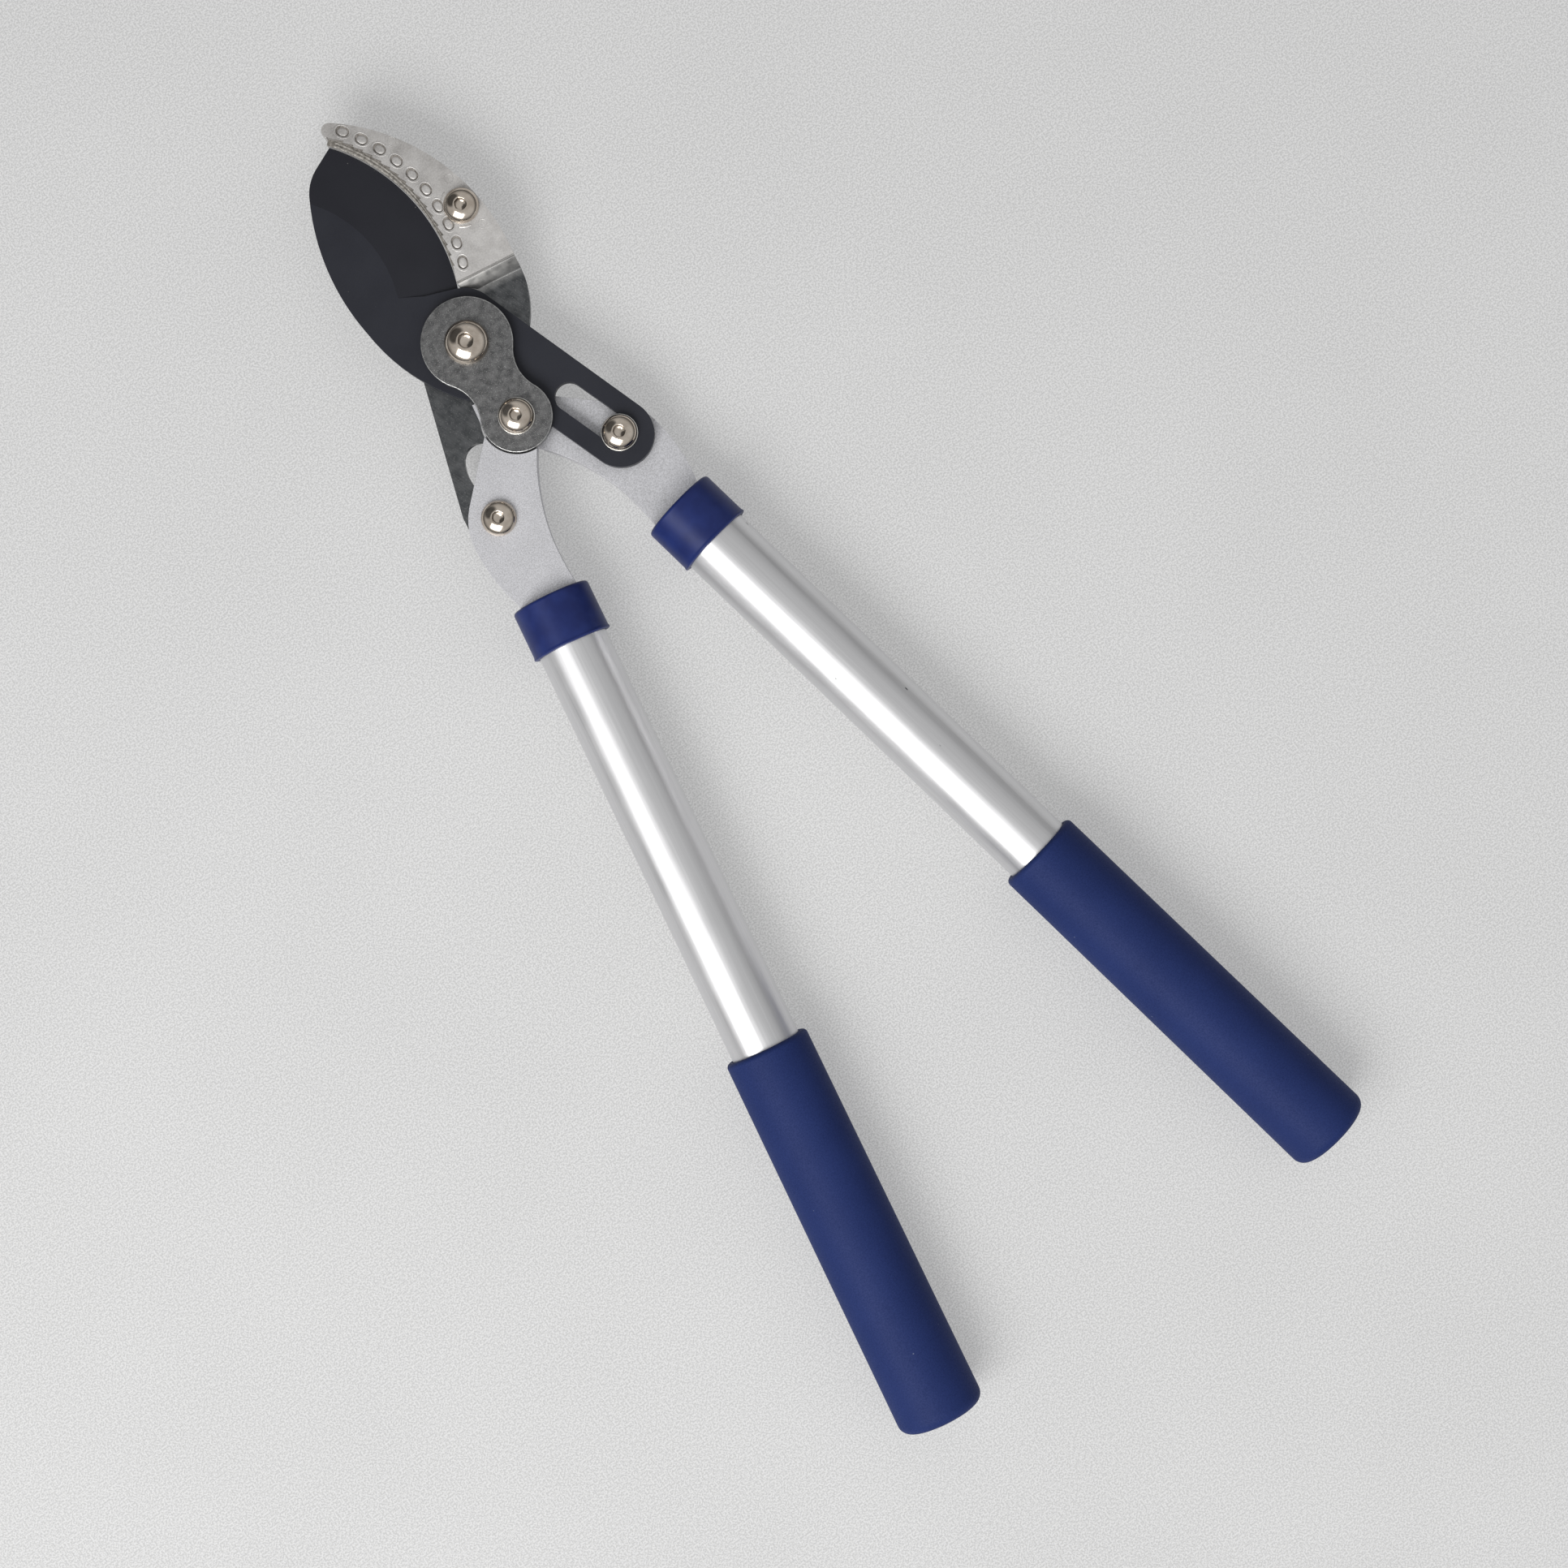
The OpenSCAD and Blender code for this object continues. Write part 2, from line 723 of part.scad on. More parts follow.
// Waisted plate, drawn with the blade pivot at the origin and the handle pivot down -Y
module link_outline() {
  handle_at = [0, -pivot_spacing];
  waist_at = meet(handle_at, link_small_r + link_waist_r, [0, 0], link_big_r + link_waist_r);
  left = bearing([0, 0], waist_at);
  low_left = bearing(handle_at, waist_at);
  waist_top = bearing(waist_at, [0, 0]);
  waist_low = bearing(waist_at, handle_at);
  right_at = [-waist_at.x, waist_at.y];
  polygon(concat(
    arc_at([0, 0], link_big_r, -180 - left, left + 360, 40),
    arc_at(waist_at, link_waist_r, waist_top, waist_low, 14),
    arc_at(handle_at, link_small_r, low_left, 540 - low_left, 36),
    arc_at(right_at, link_waist_r, 180 - waist_low, 180 - waist_top, 14)
  ));
}

module link_plate() {
  color([0.30, 0.30, 0.31])
    from_pivot(main_at, link_low)
      rotate(-link_lean)
        difference() {
          linear_extrude(link_t)
            link_outline();
          hole(main_bolt_d + 2 * fit_gap, 0, link_t);
          translate([0, -pivot_spacing, 0])
            hole(bolt_d + 2 * fit_gap, 0, link_t);
        }
}

// ---------- cast heads; the flat face looks up, the tube runs down -Y, +X is outwards ----------

module head_outline() {
  inner = handle_offset - neck_half;
  outer = handle_offset + neck_half;
  bulge = hole_out + hole_rim;
  polygon(concat(
    arc_at([0, 0], eye_r, 80, 214, 18),
    arc3([-6.1, -9.6], [-3.7, -12], head_crotch, 3),
    arc3(head_crotch, [4.8, -31], [inner + 0.8, -50], 10),
    arc3([inner + 0.8, -50], [inner + 0.7, -59], [inner, -neck_top], 6),
    [[inner, -neck_top], [inner, -tube_top], [outer, -tube_top]],
    arc3([outer, -neck_top], [bulge - 1.7, -55], [bulge, -hole_down - 9], 8),
    arc3([bulge, -hole_down - 9], [bulge - 1.1, -hole_down + 1.5], [bulge - 4.8, -24.3], 6),
    [[bulge - 4.8, -24.3], [14.2, -1], head_corner]
  ));
}

// Cast head with its thin eye, thick body and round spigot; pivot_bore is the eye's hole
module head(pivot_bore) {
  difference() {
    union() {
      difference() {
        translate([0, 0, -face_h - head_t])
          linear_extrude(head_t)
            head_outline();
        // seat for the link plate
        translate([0, 0, -face_h - head_t - 1]) {
          cylinder(r = link_small_r + swing_gap, h = head_t - eye_t + 1);
          translate([-30, 0, 0])
            cube([60, 40, head_t - eye_t + 1]);
        }
      }
      translate([handle_offset, -tube_top - spigot_len, 0])
        rotate([-90, 0, 0])
          cylinder(r = spigot_r, h = spigot_len);
      // the neck runs on into the spigot
      translate([handle_offset - neck_half / 2, -tube_top - 3, -face_h - head_t + 0.5])
        cube([neck_half, 6, head_t - 0.5]);
    }
    translate([main_from_head.x, main_from_head.y, -face_h])
      hole(2 * (lobe_r + 2.5 * swing_gap), -head_t, 0);
    hole(pivot_bore, -head_t - 1, 0);
    translate([hole_at.x, hole_at.y, 0])
      hole(bolt_d + 2 * fit_gap, -head_t - 1, 0);
    translate([handle_offset, pin_y, 0])
      hole(tube_pin_d, -tube_r, tube_r);
  }
}

module left_head() {
  color([0.78, 0.78, 0.80])
    left_side()
      head(bolt_d + 2 * fit_gap);
}

module right_head() {
  color([0.78, 0.78, 0.80])
    right_side()
      head(handle_bush_d + 2 * run_gap);
}

// ---------- handle parts; y counts along the handle from the handle pivot ----------

// Puts a shape of revolution on the handle's axis; its axis z counts down the handle
module on_handle() {
  translate([handle_offset, 0, 0])
    rotate([90, 0, 0])
      children();
}

module tube() {
  difference() {
    on_handle()
      translate([0, 0, tube_top])
        difference() {
          cylinder(r = tube_r, h = tube_len);
          translate([0, 0, -1])
            cylinder(r = tube_r - tube_wall, h = tube_len + 2);
        }
    translate([handle_offset, pin_y, 0])
      hole(tube_pin_d, -tube_r, tube_r);
  }
}

module tube_pin() {
  inset = 0.3;
  translate([handle_offset, pin_y, inset - tube_r])
    cylinder(d = tube_pin_d, h = tube_d - 2 * inset, $fn = 48);
}

module collar() {
  edge = 1.2;
  lip = 0.5;
  bore = tube_r + fit_gap;
  tail_r = collar_r + collar_flare;
  window = neck_half + 2 * fit_gap;
  difference() {
    on_handle()
      translate([0, 0, collar_top])
        rotate_extrude()
          polygon(concat(
            [[0, 0]],
            arc3([collar_r - edge, 0], [collar_r - 0.3 * edge, 0.3 * edge], [collar_r, edge], 5),
            [[collar_r, edge], [tail_r, collar_len - 1.6], [tail_r, collar_len - 0.6]],
            [[tail_r - lip, collar_len], [bore, collar_len], [bore, collar_lip], [0, collar_lip]]
          ));
    translate([handle_offset - window, -collar_top - collar_lip - 1, -face_h - head_t - fit_gap])
      cube([2 * window, collar_lip + 2, head_t + face_h + 2 * fit_gap]);
  }
}

module end_plug() {
  on_handle()
    translate([0, 0, tube_top + tube_len]) {
      cylinder(r = tube_r, h = plug_flange);
      translate([0, 0, -plug_depth])
        difference() {
          cylinder(r = tube_r - tube_wall - fit_gap, h = plug_depth + plug_flange / 2);
          translate([0, 0, -1])
            cylinder(r = tube_r - tube_wall - 2.5, h = plug_depth);
        }
    }
}

// Moulded grip: a closed sleeve with rounded ends and a flat butt
module grip() {
  bore = tube_r + fit_gap;
  start = butt_end - grip_len;
  mouth = 2;
  corner = grip_butt_r - grip_round;
  on_handle()
    rotate_extrude()
      polygon(concat(
        [[bore, butt_end - grip_butt], [bore, start]],
        arc3([grip_r - mouth, start], [grip_r - 0.3 * mouth, start + 0.3 * mouth], [grip_r, start + mouth], 5),
        [[grip_r, start + mouth]],
        arc3([grip_butt_r, butt_end - grip_round],
             [corner + grip_round * cos(45), butt_end - grip_round + grip_round * sin(45)],
             [corner, butt_end], 8),
        [[corner, butt_end], [0, butt_end], [0, butt_end - grip_butt]]
      ));
}

module left_tube() {
  color([0.80, 0.81, 0.82])
    left_side()
      tube();
}

module right_tube() {
  color([0.80, 0.81, 0.82])
    right_side()
      tube();
}

module left_tube_pin() {
  color([0.55, 0.55, 0.55])
    left_side()
      tube_pin();
}

module right_tube_pin() {
  color([0.55, 0.55, 0.55])
    right_side()
      tube_pin();
}

module left_collar() {
  color([0.13, 0.18, 0.42])
    left_side()
      collar();
}

module right_collar() {
  color([0.13, 0.18, 0.42])
    right_side()
      collar();
}

module left_end_plug() {
  color([0.12, 0.12, 0.12])
    left_side()
      end_plug();
}

module right_end_plug() {
  color([0.12, 0.12, 0.12])
    right_side()
      end_plug();
}

module left_grip() {
  color([0.12, 0.17, 0.38])
    left_side()
      grip();
}

module right_grip() {
  color([0.12, 0.17, 0.38])
    right_side()
      grip();
}

anvil_arm();
anvil_pad();
anvil_screw();
anvil_nut();
link_plate();
blade();
main_pivot_bolt();
main_pivot_bush();
main_pivot_nut();
handle_pivot_bolt();
handle_pivot_bush();
handle_pivot_washers();
handle_pivot_nut();
arm_bolt();
arm_nut();
slot_bolt();
slot_bush();
slot_washers();
slot_nut();
back_washers();
left_head();
left_tube();
left_tube_pin();
left_collar();
left_end_plug();
left_grip();
right_head();
right_tube();
right_tube_pin();
right_collar();
right_end_plug();
right_grip();
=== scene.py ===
# Anvil loppers: two cast heads on tube handles, a slotted blade and a toothed anvil.
import json
import math
import bmesh
import bpy
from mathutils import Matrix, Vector


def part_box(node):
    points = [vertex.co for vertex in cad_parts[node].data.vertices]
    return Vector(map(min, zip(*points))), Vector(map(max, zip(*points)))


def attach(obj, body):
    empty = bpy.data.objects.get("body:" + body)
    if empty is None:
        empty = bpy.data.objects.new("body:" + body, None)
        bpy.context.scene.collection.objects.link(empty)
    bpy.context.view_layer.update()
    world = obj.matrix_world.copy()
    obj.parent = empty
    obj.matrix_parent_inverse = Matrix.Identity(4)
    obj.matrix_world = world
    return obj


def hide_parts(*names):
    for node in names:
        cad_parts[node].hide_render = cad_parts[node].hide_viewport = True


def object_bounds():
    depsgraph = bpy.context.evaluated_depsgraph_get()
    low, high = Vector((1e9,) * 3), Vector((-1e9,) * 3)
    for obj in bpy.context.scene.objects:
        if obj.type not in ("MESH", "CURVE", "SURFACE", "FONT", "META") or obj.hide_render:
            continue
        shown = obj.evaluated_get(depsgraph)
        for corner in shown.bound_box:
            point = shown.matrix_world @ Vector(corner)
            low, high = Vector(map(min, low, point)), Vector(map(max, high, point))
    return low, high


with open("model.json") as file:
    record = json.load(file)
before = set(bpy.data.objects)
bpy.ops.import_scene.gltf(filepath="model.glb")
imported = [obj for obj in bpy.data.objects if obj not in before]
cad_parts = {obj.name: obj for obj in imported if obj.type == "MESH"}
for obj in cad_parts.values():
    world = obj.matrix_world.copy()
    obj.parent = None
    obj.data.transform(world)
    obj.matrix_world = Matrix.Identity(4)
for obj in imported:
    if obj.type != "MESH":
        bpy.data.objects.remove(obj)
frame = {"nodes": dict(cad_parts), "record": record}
cad_low, cad_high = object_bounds()
nodes = frame["nodes"]
mm = 0.001

# ---------------------------------------------------------------- cast heads
# Two castings from one mould, the right one turned over. Pressure-cast aluminium under a silver
# enamel with a fine sparkle; the outer faces are well rounded and the parting face is nearly sharp.


class Finish:
    """A material with one surface shader, and the layers that the tool's finishes are made of."""

    def __init__(self, name, colour, metal, rough):
        self.made = bpy.data.materials.new(name)
        self.made.use_nodes = True
        self.made.diffuse_color = (*colour, 1)
        self.shader = self.made.node_tree.nodes["Principled BSDF"]
        self.shader.inputs["Base Color"].default_value = (*colour, 1)
        self.shader.inputs["Metallic"].default_value = metal
        self.shader.inputs["Roughness"].default_value = rough
        self.place = self.add("ShaderNodeTexCoord").outputs["Object"]

    def feed(self, socket, value):
        """Gives a socket its value, or another node's output to follow."""
        if isinstance(value, bpy.types.NodeSocket):
            self.made.node_tree.links.new(value, socket)
        else:
            socket.default_value = value

    def add(self, kind, inputs=None, **settings):
        """A node with its settings and its inputs."""
        made = self.made.node_tree.nodes.new(kind)
        for name, value in settings.items():
            setattr(made, name, value)
        for name, value in (inputs or {}).items():
            self.feed(made.inputs[name], value)
        return made

    def turned(self, angle, stretch):
        """Places turned about Z and squeezed, so that a pattern runs along a piece."""
        turn = (0, 0, math.radians(angle))
        spin = self.add("ShaderNodeMapping", {"Vector": self.place, "Rotation": turn})
        return self.add("ShaderNodeMapping", {"Vector": spin.outputs[0], "Scale": stretch}).outputs[0]

    def cloud(self, size, detail=2.0, place=None):
        """Noise whose patches are about size metres across."""
        return self.add("ShaderNodeTexNoise", {
            "Vector": place or self.place, "Scale": 1 / size, "Detail": detail}).outputs["Fac"]

    def specks(self, size, reach, place=None):
        """1 in small round spots, 0 between them; reach is a spot's share of its cell."""
        cells = self.add("ShaderNodeTexVoronoi", {"Vector": place or self.place, "Scale": 1 / size})
        return self.span(cells.outputs["Distance"], reach, reach * 0.6, 0, 1)

    def span(self, value, low, high, to_low, to_high):
        """A value between low and high taken to between to_low and to_high."""
        return self.add("ShaderNodeMapRange", {
            "Value": value, "From Min": low, "From Max": high,
            "To Min": to_low, "To Max": to_high}).outputs[0]

    def spread(self, noise, share=1.0):
        """Noise, which stays near its middle, spread out between 0 and share."""
        return self.span(noise, 0.35, 0.65, 0, share)

    def blend(self, share, first, second):
        """One colour turning into another as share goes from 0 to 1."""
        mixed = self.add("ShaderNodeMix", data_type="RGBA")
        self.feed(mixed.inputs[0], share)
        for place, colour in ((6, first), (7, second)):
            plain = not isinstance(colour, bpy.types.NodeSocket)
            self.feed(mixed.inputs[place], (*colour, 1) if plain else colour)
        return mixed.outputs[2]

    def join(self, how, a, b):
        """Sum, product or larger of two values."""
        joined = self.add("ShaderNodeMath", operation=how)
        self.feed(joined.inputs[0], a)
        self.feed(joined.inputs[1], b)
        return joined.outputs[0]

    def along(self, way, start, end, to_low=0.0, to_high=1.0):
        """A value that runs from to_low to to_high between two distances along a direction."""
        reach = self.add("ShaderNodeVectorMath", operation="DOT_PRODUCT")
        self.feed(reach.inputs[0], self.place)
        self.feed(reach.inputs[1], way)
        return self.span(reach.outputs["Value"], start, end, to_low, to_high)

    def drive(self, name, value):
        """Lets a value or colour decide one of the shader's inputs."""
        self.feed(self.shader.inputs[name], value)

    def colour_by(self, share, low, high):
        """Base colour between two tones."""
        self.drive("Base Color", self.blend(share, low, high))

    def rough_by(self, noise, low, high):
        """Roughness between two values, as a noise goes up."""
        self.drive("Roughness", self.span(noise, 0.3, 0.7, low, high))

    def relief(self, *layers):
        """Bumps, each a height and its depth in metres, one over the other."""
        under = None
        for height, depth in layers:
            inputs = {"Height": height, "Distance": depth, "Strength": 1.0}
            if under:
                inputs["Normal"] = under
            under = self.add("ShaderNodeBump", inputs).outputs[0]
        self.drive("Normal", under)


def body_with(node):
    """The name of the moving body that a CAD node belongs to."""
    return next(b for b, members in frame["record"]["behaviour"]["bodies"].items() if node in members)


def open_copy(node):
    """An editable copy of a CAD node's mesh, its corners joined and its flat faces whole."""
    work = bmesh.new()
    work.from_mesh(nodes[node].data)
    bmesh.ops.remove_doubles(work, verts=work.verts, dist=3e-6)
    bmesh.ops.dissolve_degenerate(work, dist=1e-6, edges=work.edges)
    bmesh.ops.dissolve_limit(work, angle_limit=math.radians(0.4), verts=work.verts, edges=work.edges)
    bmesh.ops.recalc_face_normals(work, faces=work.faces)
    return work


def edges_over(work, angle, wanted=lambda middle, edge: True):
    """The edges that turn by more than angle degrees and that are wanted at their middle."""
    return [
        e for e in work.edges
        if len(e.link_faces) == 2
        and e.calc_face_angle(0) > math.radians(angle)
        and wanted((e.verts[0].co + e.verts[1].co) / 2, e)
    ]


def round_over(work, edges, width, segments=3):
    """Rounds these edges, and returns the new faces."""
    if not edges:
        return []
    return bmesh.ops.bevel(
        work, geom=edges, offset=width, offset_type="OFFSET", segments=segments, profile=0.5,
        affect="EDGES", clamp_overlap=True)["faces"]


def finished(work, name, finish, body, stands_for=(), sharp=35, more=()):
    """Makes a piece of an edited mesh: smooth where it turns gently, riding on its body."""
    mesh = bpy.data.meshes.new(name)
    creased = work.edges.layers.float.get("crease_mark")
    marked = [e.index for e in work.edges if creased and e[creased] > 0] if creased else []
    work.to_mesh(mesh)
    work.free()
    mesh.shade_smooth()
    mesh.set_sharp_from_angle(angle=math.radians(sharp))
    for index in marked:
        mesh.edges[index].use_edge_sharp = True
    for material in (finish, *more):
        mesh.materials.append(material.made)
    piece = bpy.data.objects.new(name, mesh)
    bpy.context.scene.collection.objects.link(piece)
    even = piece.modifiers.new("flat faces stay flat", "WEIGHTED_NORMAL")
    even.keep_sharp = True
    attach(piece, body)
    if stands_for:
        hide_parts(*stands_for)


head_half = 8.625 * mm    # from the tubes' axes to the outer face
head_edge = 1.7 * mm      # rounding of the outer face
parting_edge = 1.2 * mm   # draft chamfer of the parting face
half_splay = 10.25        # each handle leans out by this many degrees

axis_z = (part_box("left_grip")[0].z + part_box("left_grip")[1].z) / 2

enamel = Finish("silver sparkle enamel", (0.64, 0.64, 0.66), 0.4, 0.42)
sparkle = enamel.cloud(0.5 * mm, 5)
clouding = enamel.cloud(14 * mm, 2)
tone = enamel.join("ADD", enamel.span(sparkle, 0.36, 0.64, 0, 0.85), enamel.spread(clouding, 0.15))
enamel.colour_by(tone, (0.43, 0.43, 0.445), (0.67, 0.67, 0.70))
enamel.rough_by(sparkle, 0.52, 0.36)
enamel.relief((sparkle, 0.05 * mm), (enamel.cloud(2.2 * mm, 1), 0.06 * mm))

for side in ("left", "right"):
    outer_z = axis_z + (head_half if side == "left" else -head_half)
    casting = open_copy(f"{side}_head")
    rim = edges_over(casting, 40, lambda m, e: abs(m.z - outer_z) < 0.1 * mm)
    rim = [e for e in rim if min(abs(f.normal.z) for f in e.link_faces) < 0.3]
    round_over(casting, rim, head_edge, 4)
    parting = edges_over(casting, 50, lambda m, e: abs(m.z - axis_z) < 1 * mm)
    round_over(casting, parting, parting_edge, 2)
    finished(casting, f"{side}_head_casting", enamel, body_with(f"{side}_head"),
             [f"{side}_head"])

# ---------------------------------------------------------------- tubes and spring pins
# Drawn aluminium tubes pushed over the heads' spigots and held by a spring pin under each collar.
# Satin anodised, with the faint lengthwise lines of the draw and a few small nicks from use.


def ring_points(start, along, side, turn, rings, segments):
    """Points of the rings round an axis; a ring is (distance along, radius), and a radius may
    be a function of the angle in degrees."""
    for distance, radius in rings:
        for step in range(segments):
            angle = 360 * step / segments
            r = radius(angle) if callable(radius) else radius
            a = math.radians(angle)
            yield start + along * distance + (side * math.cos(a) + turn * math.sin(a)) * r


def turned_piece(start, along, rings, segments=128, closed=True):
    """An editable mesh of a turned shape. Its rings are joined in order, and a ring of radius 0 is
    a point; where closed, the last ring joins the first, as in a tube."""
    along = Vector(along).normalized()
    side = Vector((0, 0, 1)) if abs(along.z) < 0.5 else Vector((1, 0, 0))
    side = (side - along * side.dot(along)).normalized()
    work = bmesh.new()
    points = [work.verts.new(p) for p in
              ring_points(Vector(start), along, side, along.cross(side), rings, segments)]
    count = len(rings)
    for k in range(count if closed else count - 1):
        for i in range(segments):
            j = (i + 1) % segments
            a, b = points[k * segments + i], points[k * segments + j]
            d, c = points[(k + 1) % count * segments + i], points[(k + 1) % count * segments + j]
            work.faces.new((a, b, c, d))
    bmesh.ops.remove_doubles(work, verts=work.verts, dist=1e-7)
    bmesh.ops.recalc_face_normals(work, faces=work.faces)
    return work


def fillet(centre_t, centre_r, radius, first, last, steps=6):
    """Rings of a rounded corner: an arc about (along, out) from one angle to another."""
    return [(centre_t + radius * math.sin(math.radians(first + (last - first) * k / steps)),
             centre_r + radius * math.cos(math.radians(first + (last - first) * k / steps)))
            for k in range(steps + 1)]


tube_r = 14.25 * mm
tube_wall = 1.5 * mm
tube_top = 71 * mm
tube_long = 351.5 * mm
tube_out = 19.2 * mm      # from the handle pivot, sideways


def middle_of(node, z):
    """The middle of a CAD node as seen from above, at a height."""
    low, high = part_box(node)
    return Vector(((low.x + high.x) / 2, (low.y + high.y) / 2, z))


pivot = middle_of("handle_pivot_bolt", axis_z)
lean = math.radians(half_splay)
handle = {}               # by side: the point of the tube's axis beside the pivot, and its direction
for side, way in (("left", -1), ("right", 1)):
    outward = Vector((way * math.cos(lean), math.sin(lean), 0))
    handle[side] = (pivot + outward * tube_out, Vector((way * math.sin(lean), -math.cos(lean), 0)))


def anodised(side, turn):
    """Satin anodised tube; turn lays the drawing lines along the tube."""
    satin = Finish(f"satin anodised {side}", (0.70, 0.70, 0.715), 1.0, 0.3)
    lines = satin.cloud(0.7 * mm, 3, satin.turned(turn, (1, 0.012, 1)))
    haze = satin.cloud(24 * mm, 3)
    nick_place = satin.turned(turn, (1, 0.45, 1))
    nicks = satin.join("MULTIPLY", satin.specks(9 * mm, 0.055, nick_place),
                       satin.span(satin.cloud(60 * mm, 0), 0.52, 0.56, 0, 1))
    bright = satin.blend(satin.span(lines, 0.3, 0.7, 0, 1), (0.70, 0.70, 0.71), (0.76, 0.76, 0.77))
    satin.colour_by(nicks, bright, (0.10, 0.10, 0.11))
    satin.drive("Roughness", satin.join(
        "ADD", satin.span(lines, 0.3, 0.7, 0.38, 0.44), satin.span(haze, 0.35, 0.65, -0.02, 0.03)))
    satin.relief((lines, 0.006 * mm), (nicks, -0.08 * mm))
    return satin


zinc = Finish("zinc plate", (0.52, 0.52, 0.51), 1.0, 0.36)
zinc_bloom = zinc.cloud(1.3 * mm, 4)
zinc.colour_by(zinc.spread(zinc_bloom), (0.42, 0.43, 0.44), (0.60, 0.59, 0.56))
zinc.rough_by(zinc_bloom, 0.3, 0.46)
zinc.relief((zinc_bloom, 0.02 * mm))

for side, (beside, down) in handle.items():
    inner = tube_r - tube_wall
    edge = 0.3 * mm
    end = tube_top + tube_long
    walls = [(tube_top, inner + edge), (tube_top + edge, inner),
             (end - edge, inner), (end, inner + edge),
             (end, tube_r - edge), (end - edge, tube_r),
             (tube_top + edge, tube_r), (tube_top, tube_r - edge)]
    tube = turned_piece(beside, down, walls)
    finished(tube, f"{side}_drawn_tube", anodised(side, half_splay if side == "left" else -half_splay),
             body_with(f"{side}_tube"), [f"{side}_tube"])
    nodes[f"{side}_tube_pin"].data.materials.clear()
    nodes[f"{side}_tube_pin"].data.materials.append(zinc.made)

# ---------------------------------------------------------------- collars
# Satin dark blue mouldings that cover the joint of head and tube. The jaw end is closed round
# the neck with a soft edge, and the tube end finishes in a thin raised bead.

collar_r = 16.05 * mm
collar_flare = 0.3 * mm
collar_long = 20.8 * mm
collar_lip = 2.4 * mm
collar_soft = 1.3 * mm    # rounding of the jaw end
collar_bead = 0.5 * mm    # radius of the bead
bore_lead = 0.3 * mm
tube_bore = tube_r + 0.1 * mm
collar_blue = Finish("dark blue satin moulding", (0.014, 0.026, 0.13), 0.0, 0.4)
collar_flow = collar_blue.cloud(7 * mm, 2)
collar_skin = collar_blue.cloud(0.5 * mm, 2)
collar_blue.colour_by(collar_blue.spread(collar_flow), (0.0095, 0.018, 0.096), (0.0135, 0.0255, 0.125))
collar_blue.rough_by(collar_skin, 0.34, 0.46)
collar_blue.shader.inputs["Specular IOR Level"].default_value = 0.22
collar_blue.relief((collar_skin, 0.012 * mm))

for side, (beside, down) in handle.items():
    start = tube_top - collar_lip
    tail = start + collar_long
    tail_r = collar_r + collar_flare
    rings = [(start, 0)] + fillet(start + collar_soft, collar_r - collar_soft, collar_soft, -90, 0)
    rings += [(tail - 3.4 * collar_bead, tail_r - 0.5 * collar_bead)]
    rings += fillet(tail - 1.4 * collar_bead, tail_r - 0.9 * collar_bead, collar_bead, -40, 90, 5)
    rings += [(tail, tube_bore + bore_lead), (tail - bore_lead, tube_bore),
              (start + collar_lip, tube_bore), (start + collar_lip, 0)]
    sleeve = turned_piece(beside, down, rings, closed=False)
    finished(sleeve, f"{side}_collar_moulding", collar_blue, body_with(f"{side}_collar"),
             [f"{side}_collar"])

# ---------------------------------------------------------------- grips and end plugs
# Closed soft sleeves of dark blue rubber over the tube ends, a plain black plug inside each end.
# The skin is an even fine grain; the mouth is softly rounded and the butt slightly crowned.

grip_r = 17.4 * mm
grip_flare = 0.4 * mm
grip_long = 162.5 * mm
grip_mouth = 1.9 * mm     # rounding of the mouth
grip_corner = 4.5 * mm    # rounding of the butt
grip_crown = 0.5 * mm
grip_floor = 3.5 * mm     # thickness of the closed end
plug_flange = 1.5 * mm
grip_end = tube_top + tube_long + plug_flange + grip_floor
grip_blue = Finish("fine grained blue rubber", (0.017, 0.033, 0.13), 0.0, 0.62)
grip_grain = grip_blue.cloud(0.55 * mm, 3)
grip_bloom = grip_blue.cloud(30 * mm, 3)
dust = grip_blue.specks(11 * mm, 0.03)
skin_tone = grip_blue.join(
    "ADD", grip_blue.span(grip_grain, 0.3, 0.7, 0, 0.7), grip_blue.spread(grip_bloom, 0.3))
skin = grip_blue.blend(skin_tone, (0.0095, 0.0195, 0.086), (0.0165, 0.031, 0.126))
grip_blue.colour_by(grip_blue.span(dust, 0, 1, 0, 0.5), skin, (0.2, 0.23, 0.32))
grip_blue.rough_by(grip_grain, 0.7, 0.54)
grip_blue.shader.inputs["Specular IOR Level"].default_value = 0.14
grip_blue.relief((grip_grain, 0.05 * mm))

black = Finish("black moulding", (0.016, 0.016, 0.017), 0.0, 0.5)
black_grain = black.cloud(0.6 * mm, 2)
black.colour_by(black_grain, (0.012, 0.012, 0.013), (0.022, 0.022, 0.024))
black.rough_by(black_grain, 0.42, 0.58)
black.relief((black_grain, 0.02 * mm))

for side, (beside, down) in handle.items():
    start = grip_end - grip_long
    butt_r = grip_r + grip_flare
    rings = [(start + 0.5 * mm, tube_bore), (start, tube_bore + 0.5 * mm)]
    rings += fillet(start + grip_mouth, grip_r - grip_mouth, grip_mouth, -90, 0)
    rings += [(start + grip_long * k / 12, grip_r + grip_flare * k / 12) for k in range(1, 12)]
    rings += fillet(grip_end - grip_crown - grip_corner, butt_r - grip_corner, grip_corner, 0, 84, 8)
    rings += [(grip_end - 0.25 * grip_crown, 6 * mm), (grip_end, 0),
              (grip_end - grip_floor, 0), (grip_end - grip_floor, tube_bore)]
    sleeve = turned_piece(beside, down, rings)
    finished(sleeve, f"{side}_soft_grip", grip_blue, body_with(f"{side}_grip"),
             [f"{side}_grip"])
    nodes[f"{side}_end_plug"].data.materials.clear()
    nodes[f"{side}_end_plug"].data.materials.append(black.made)

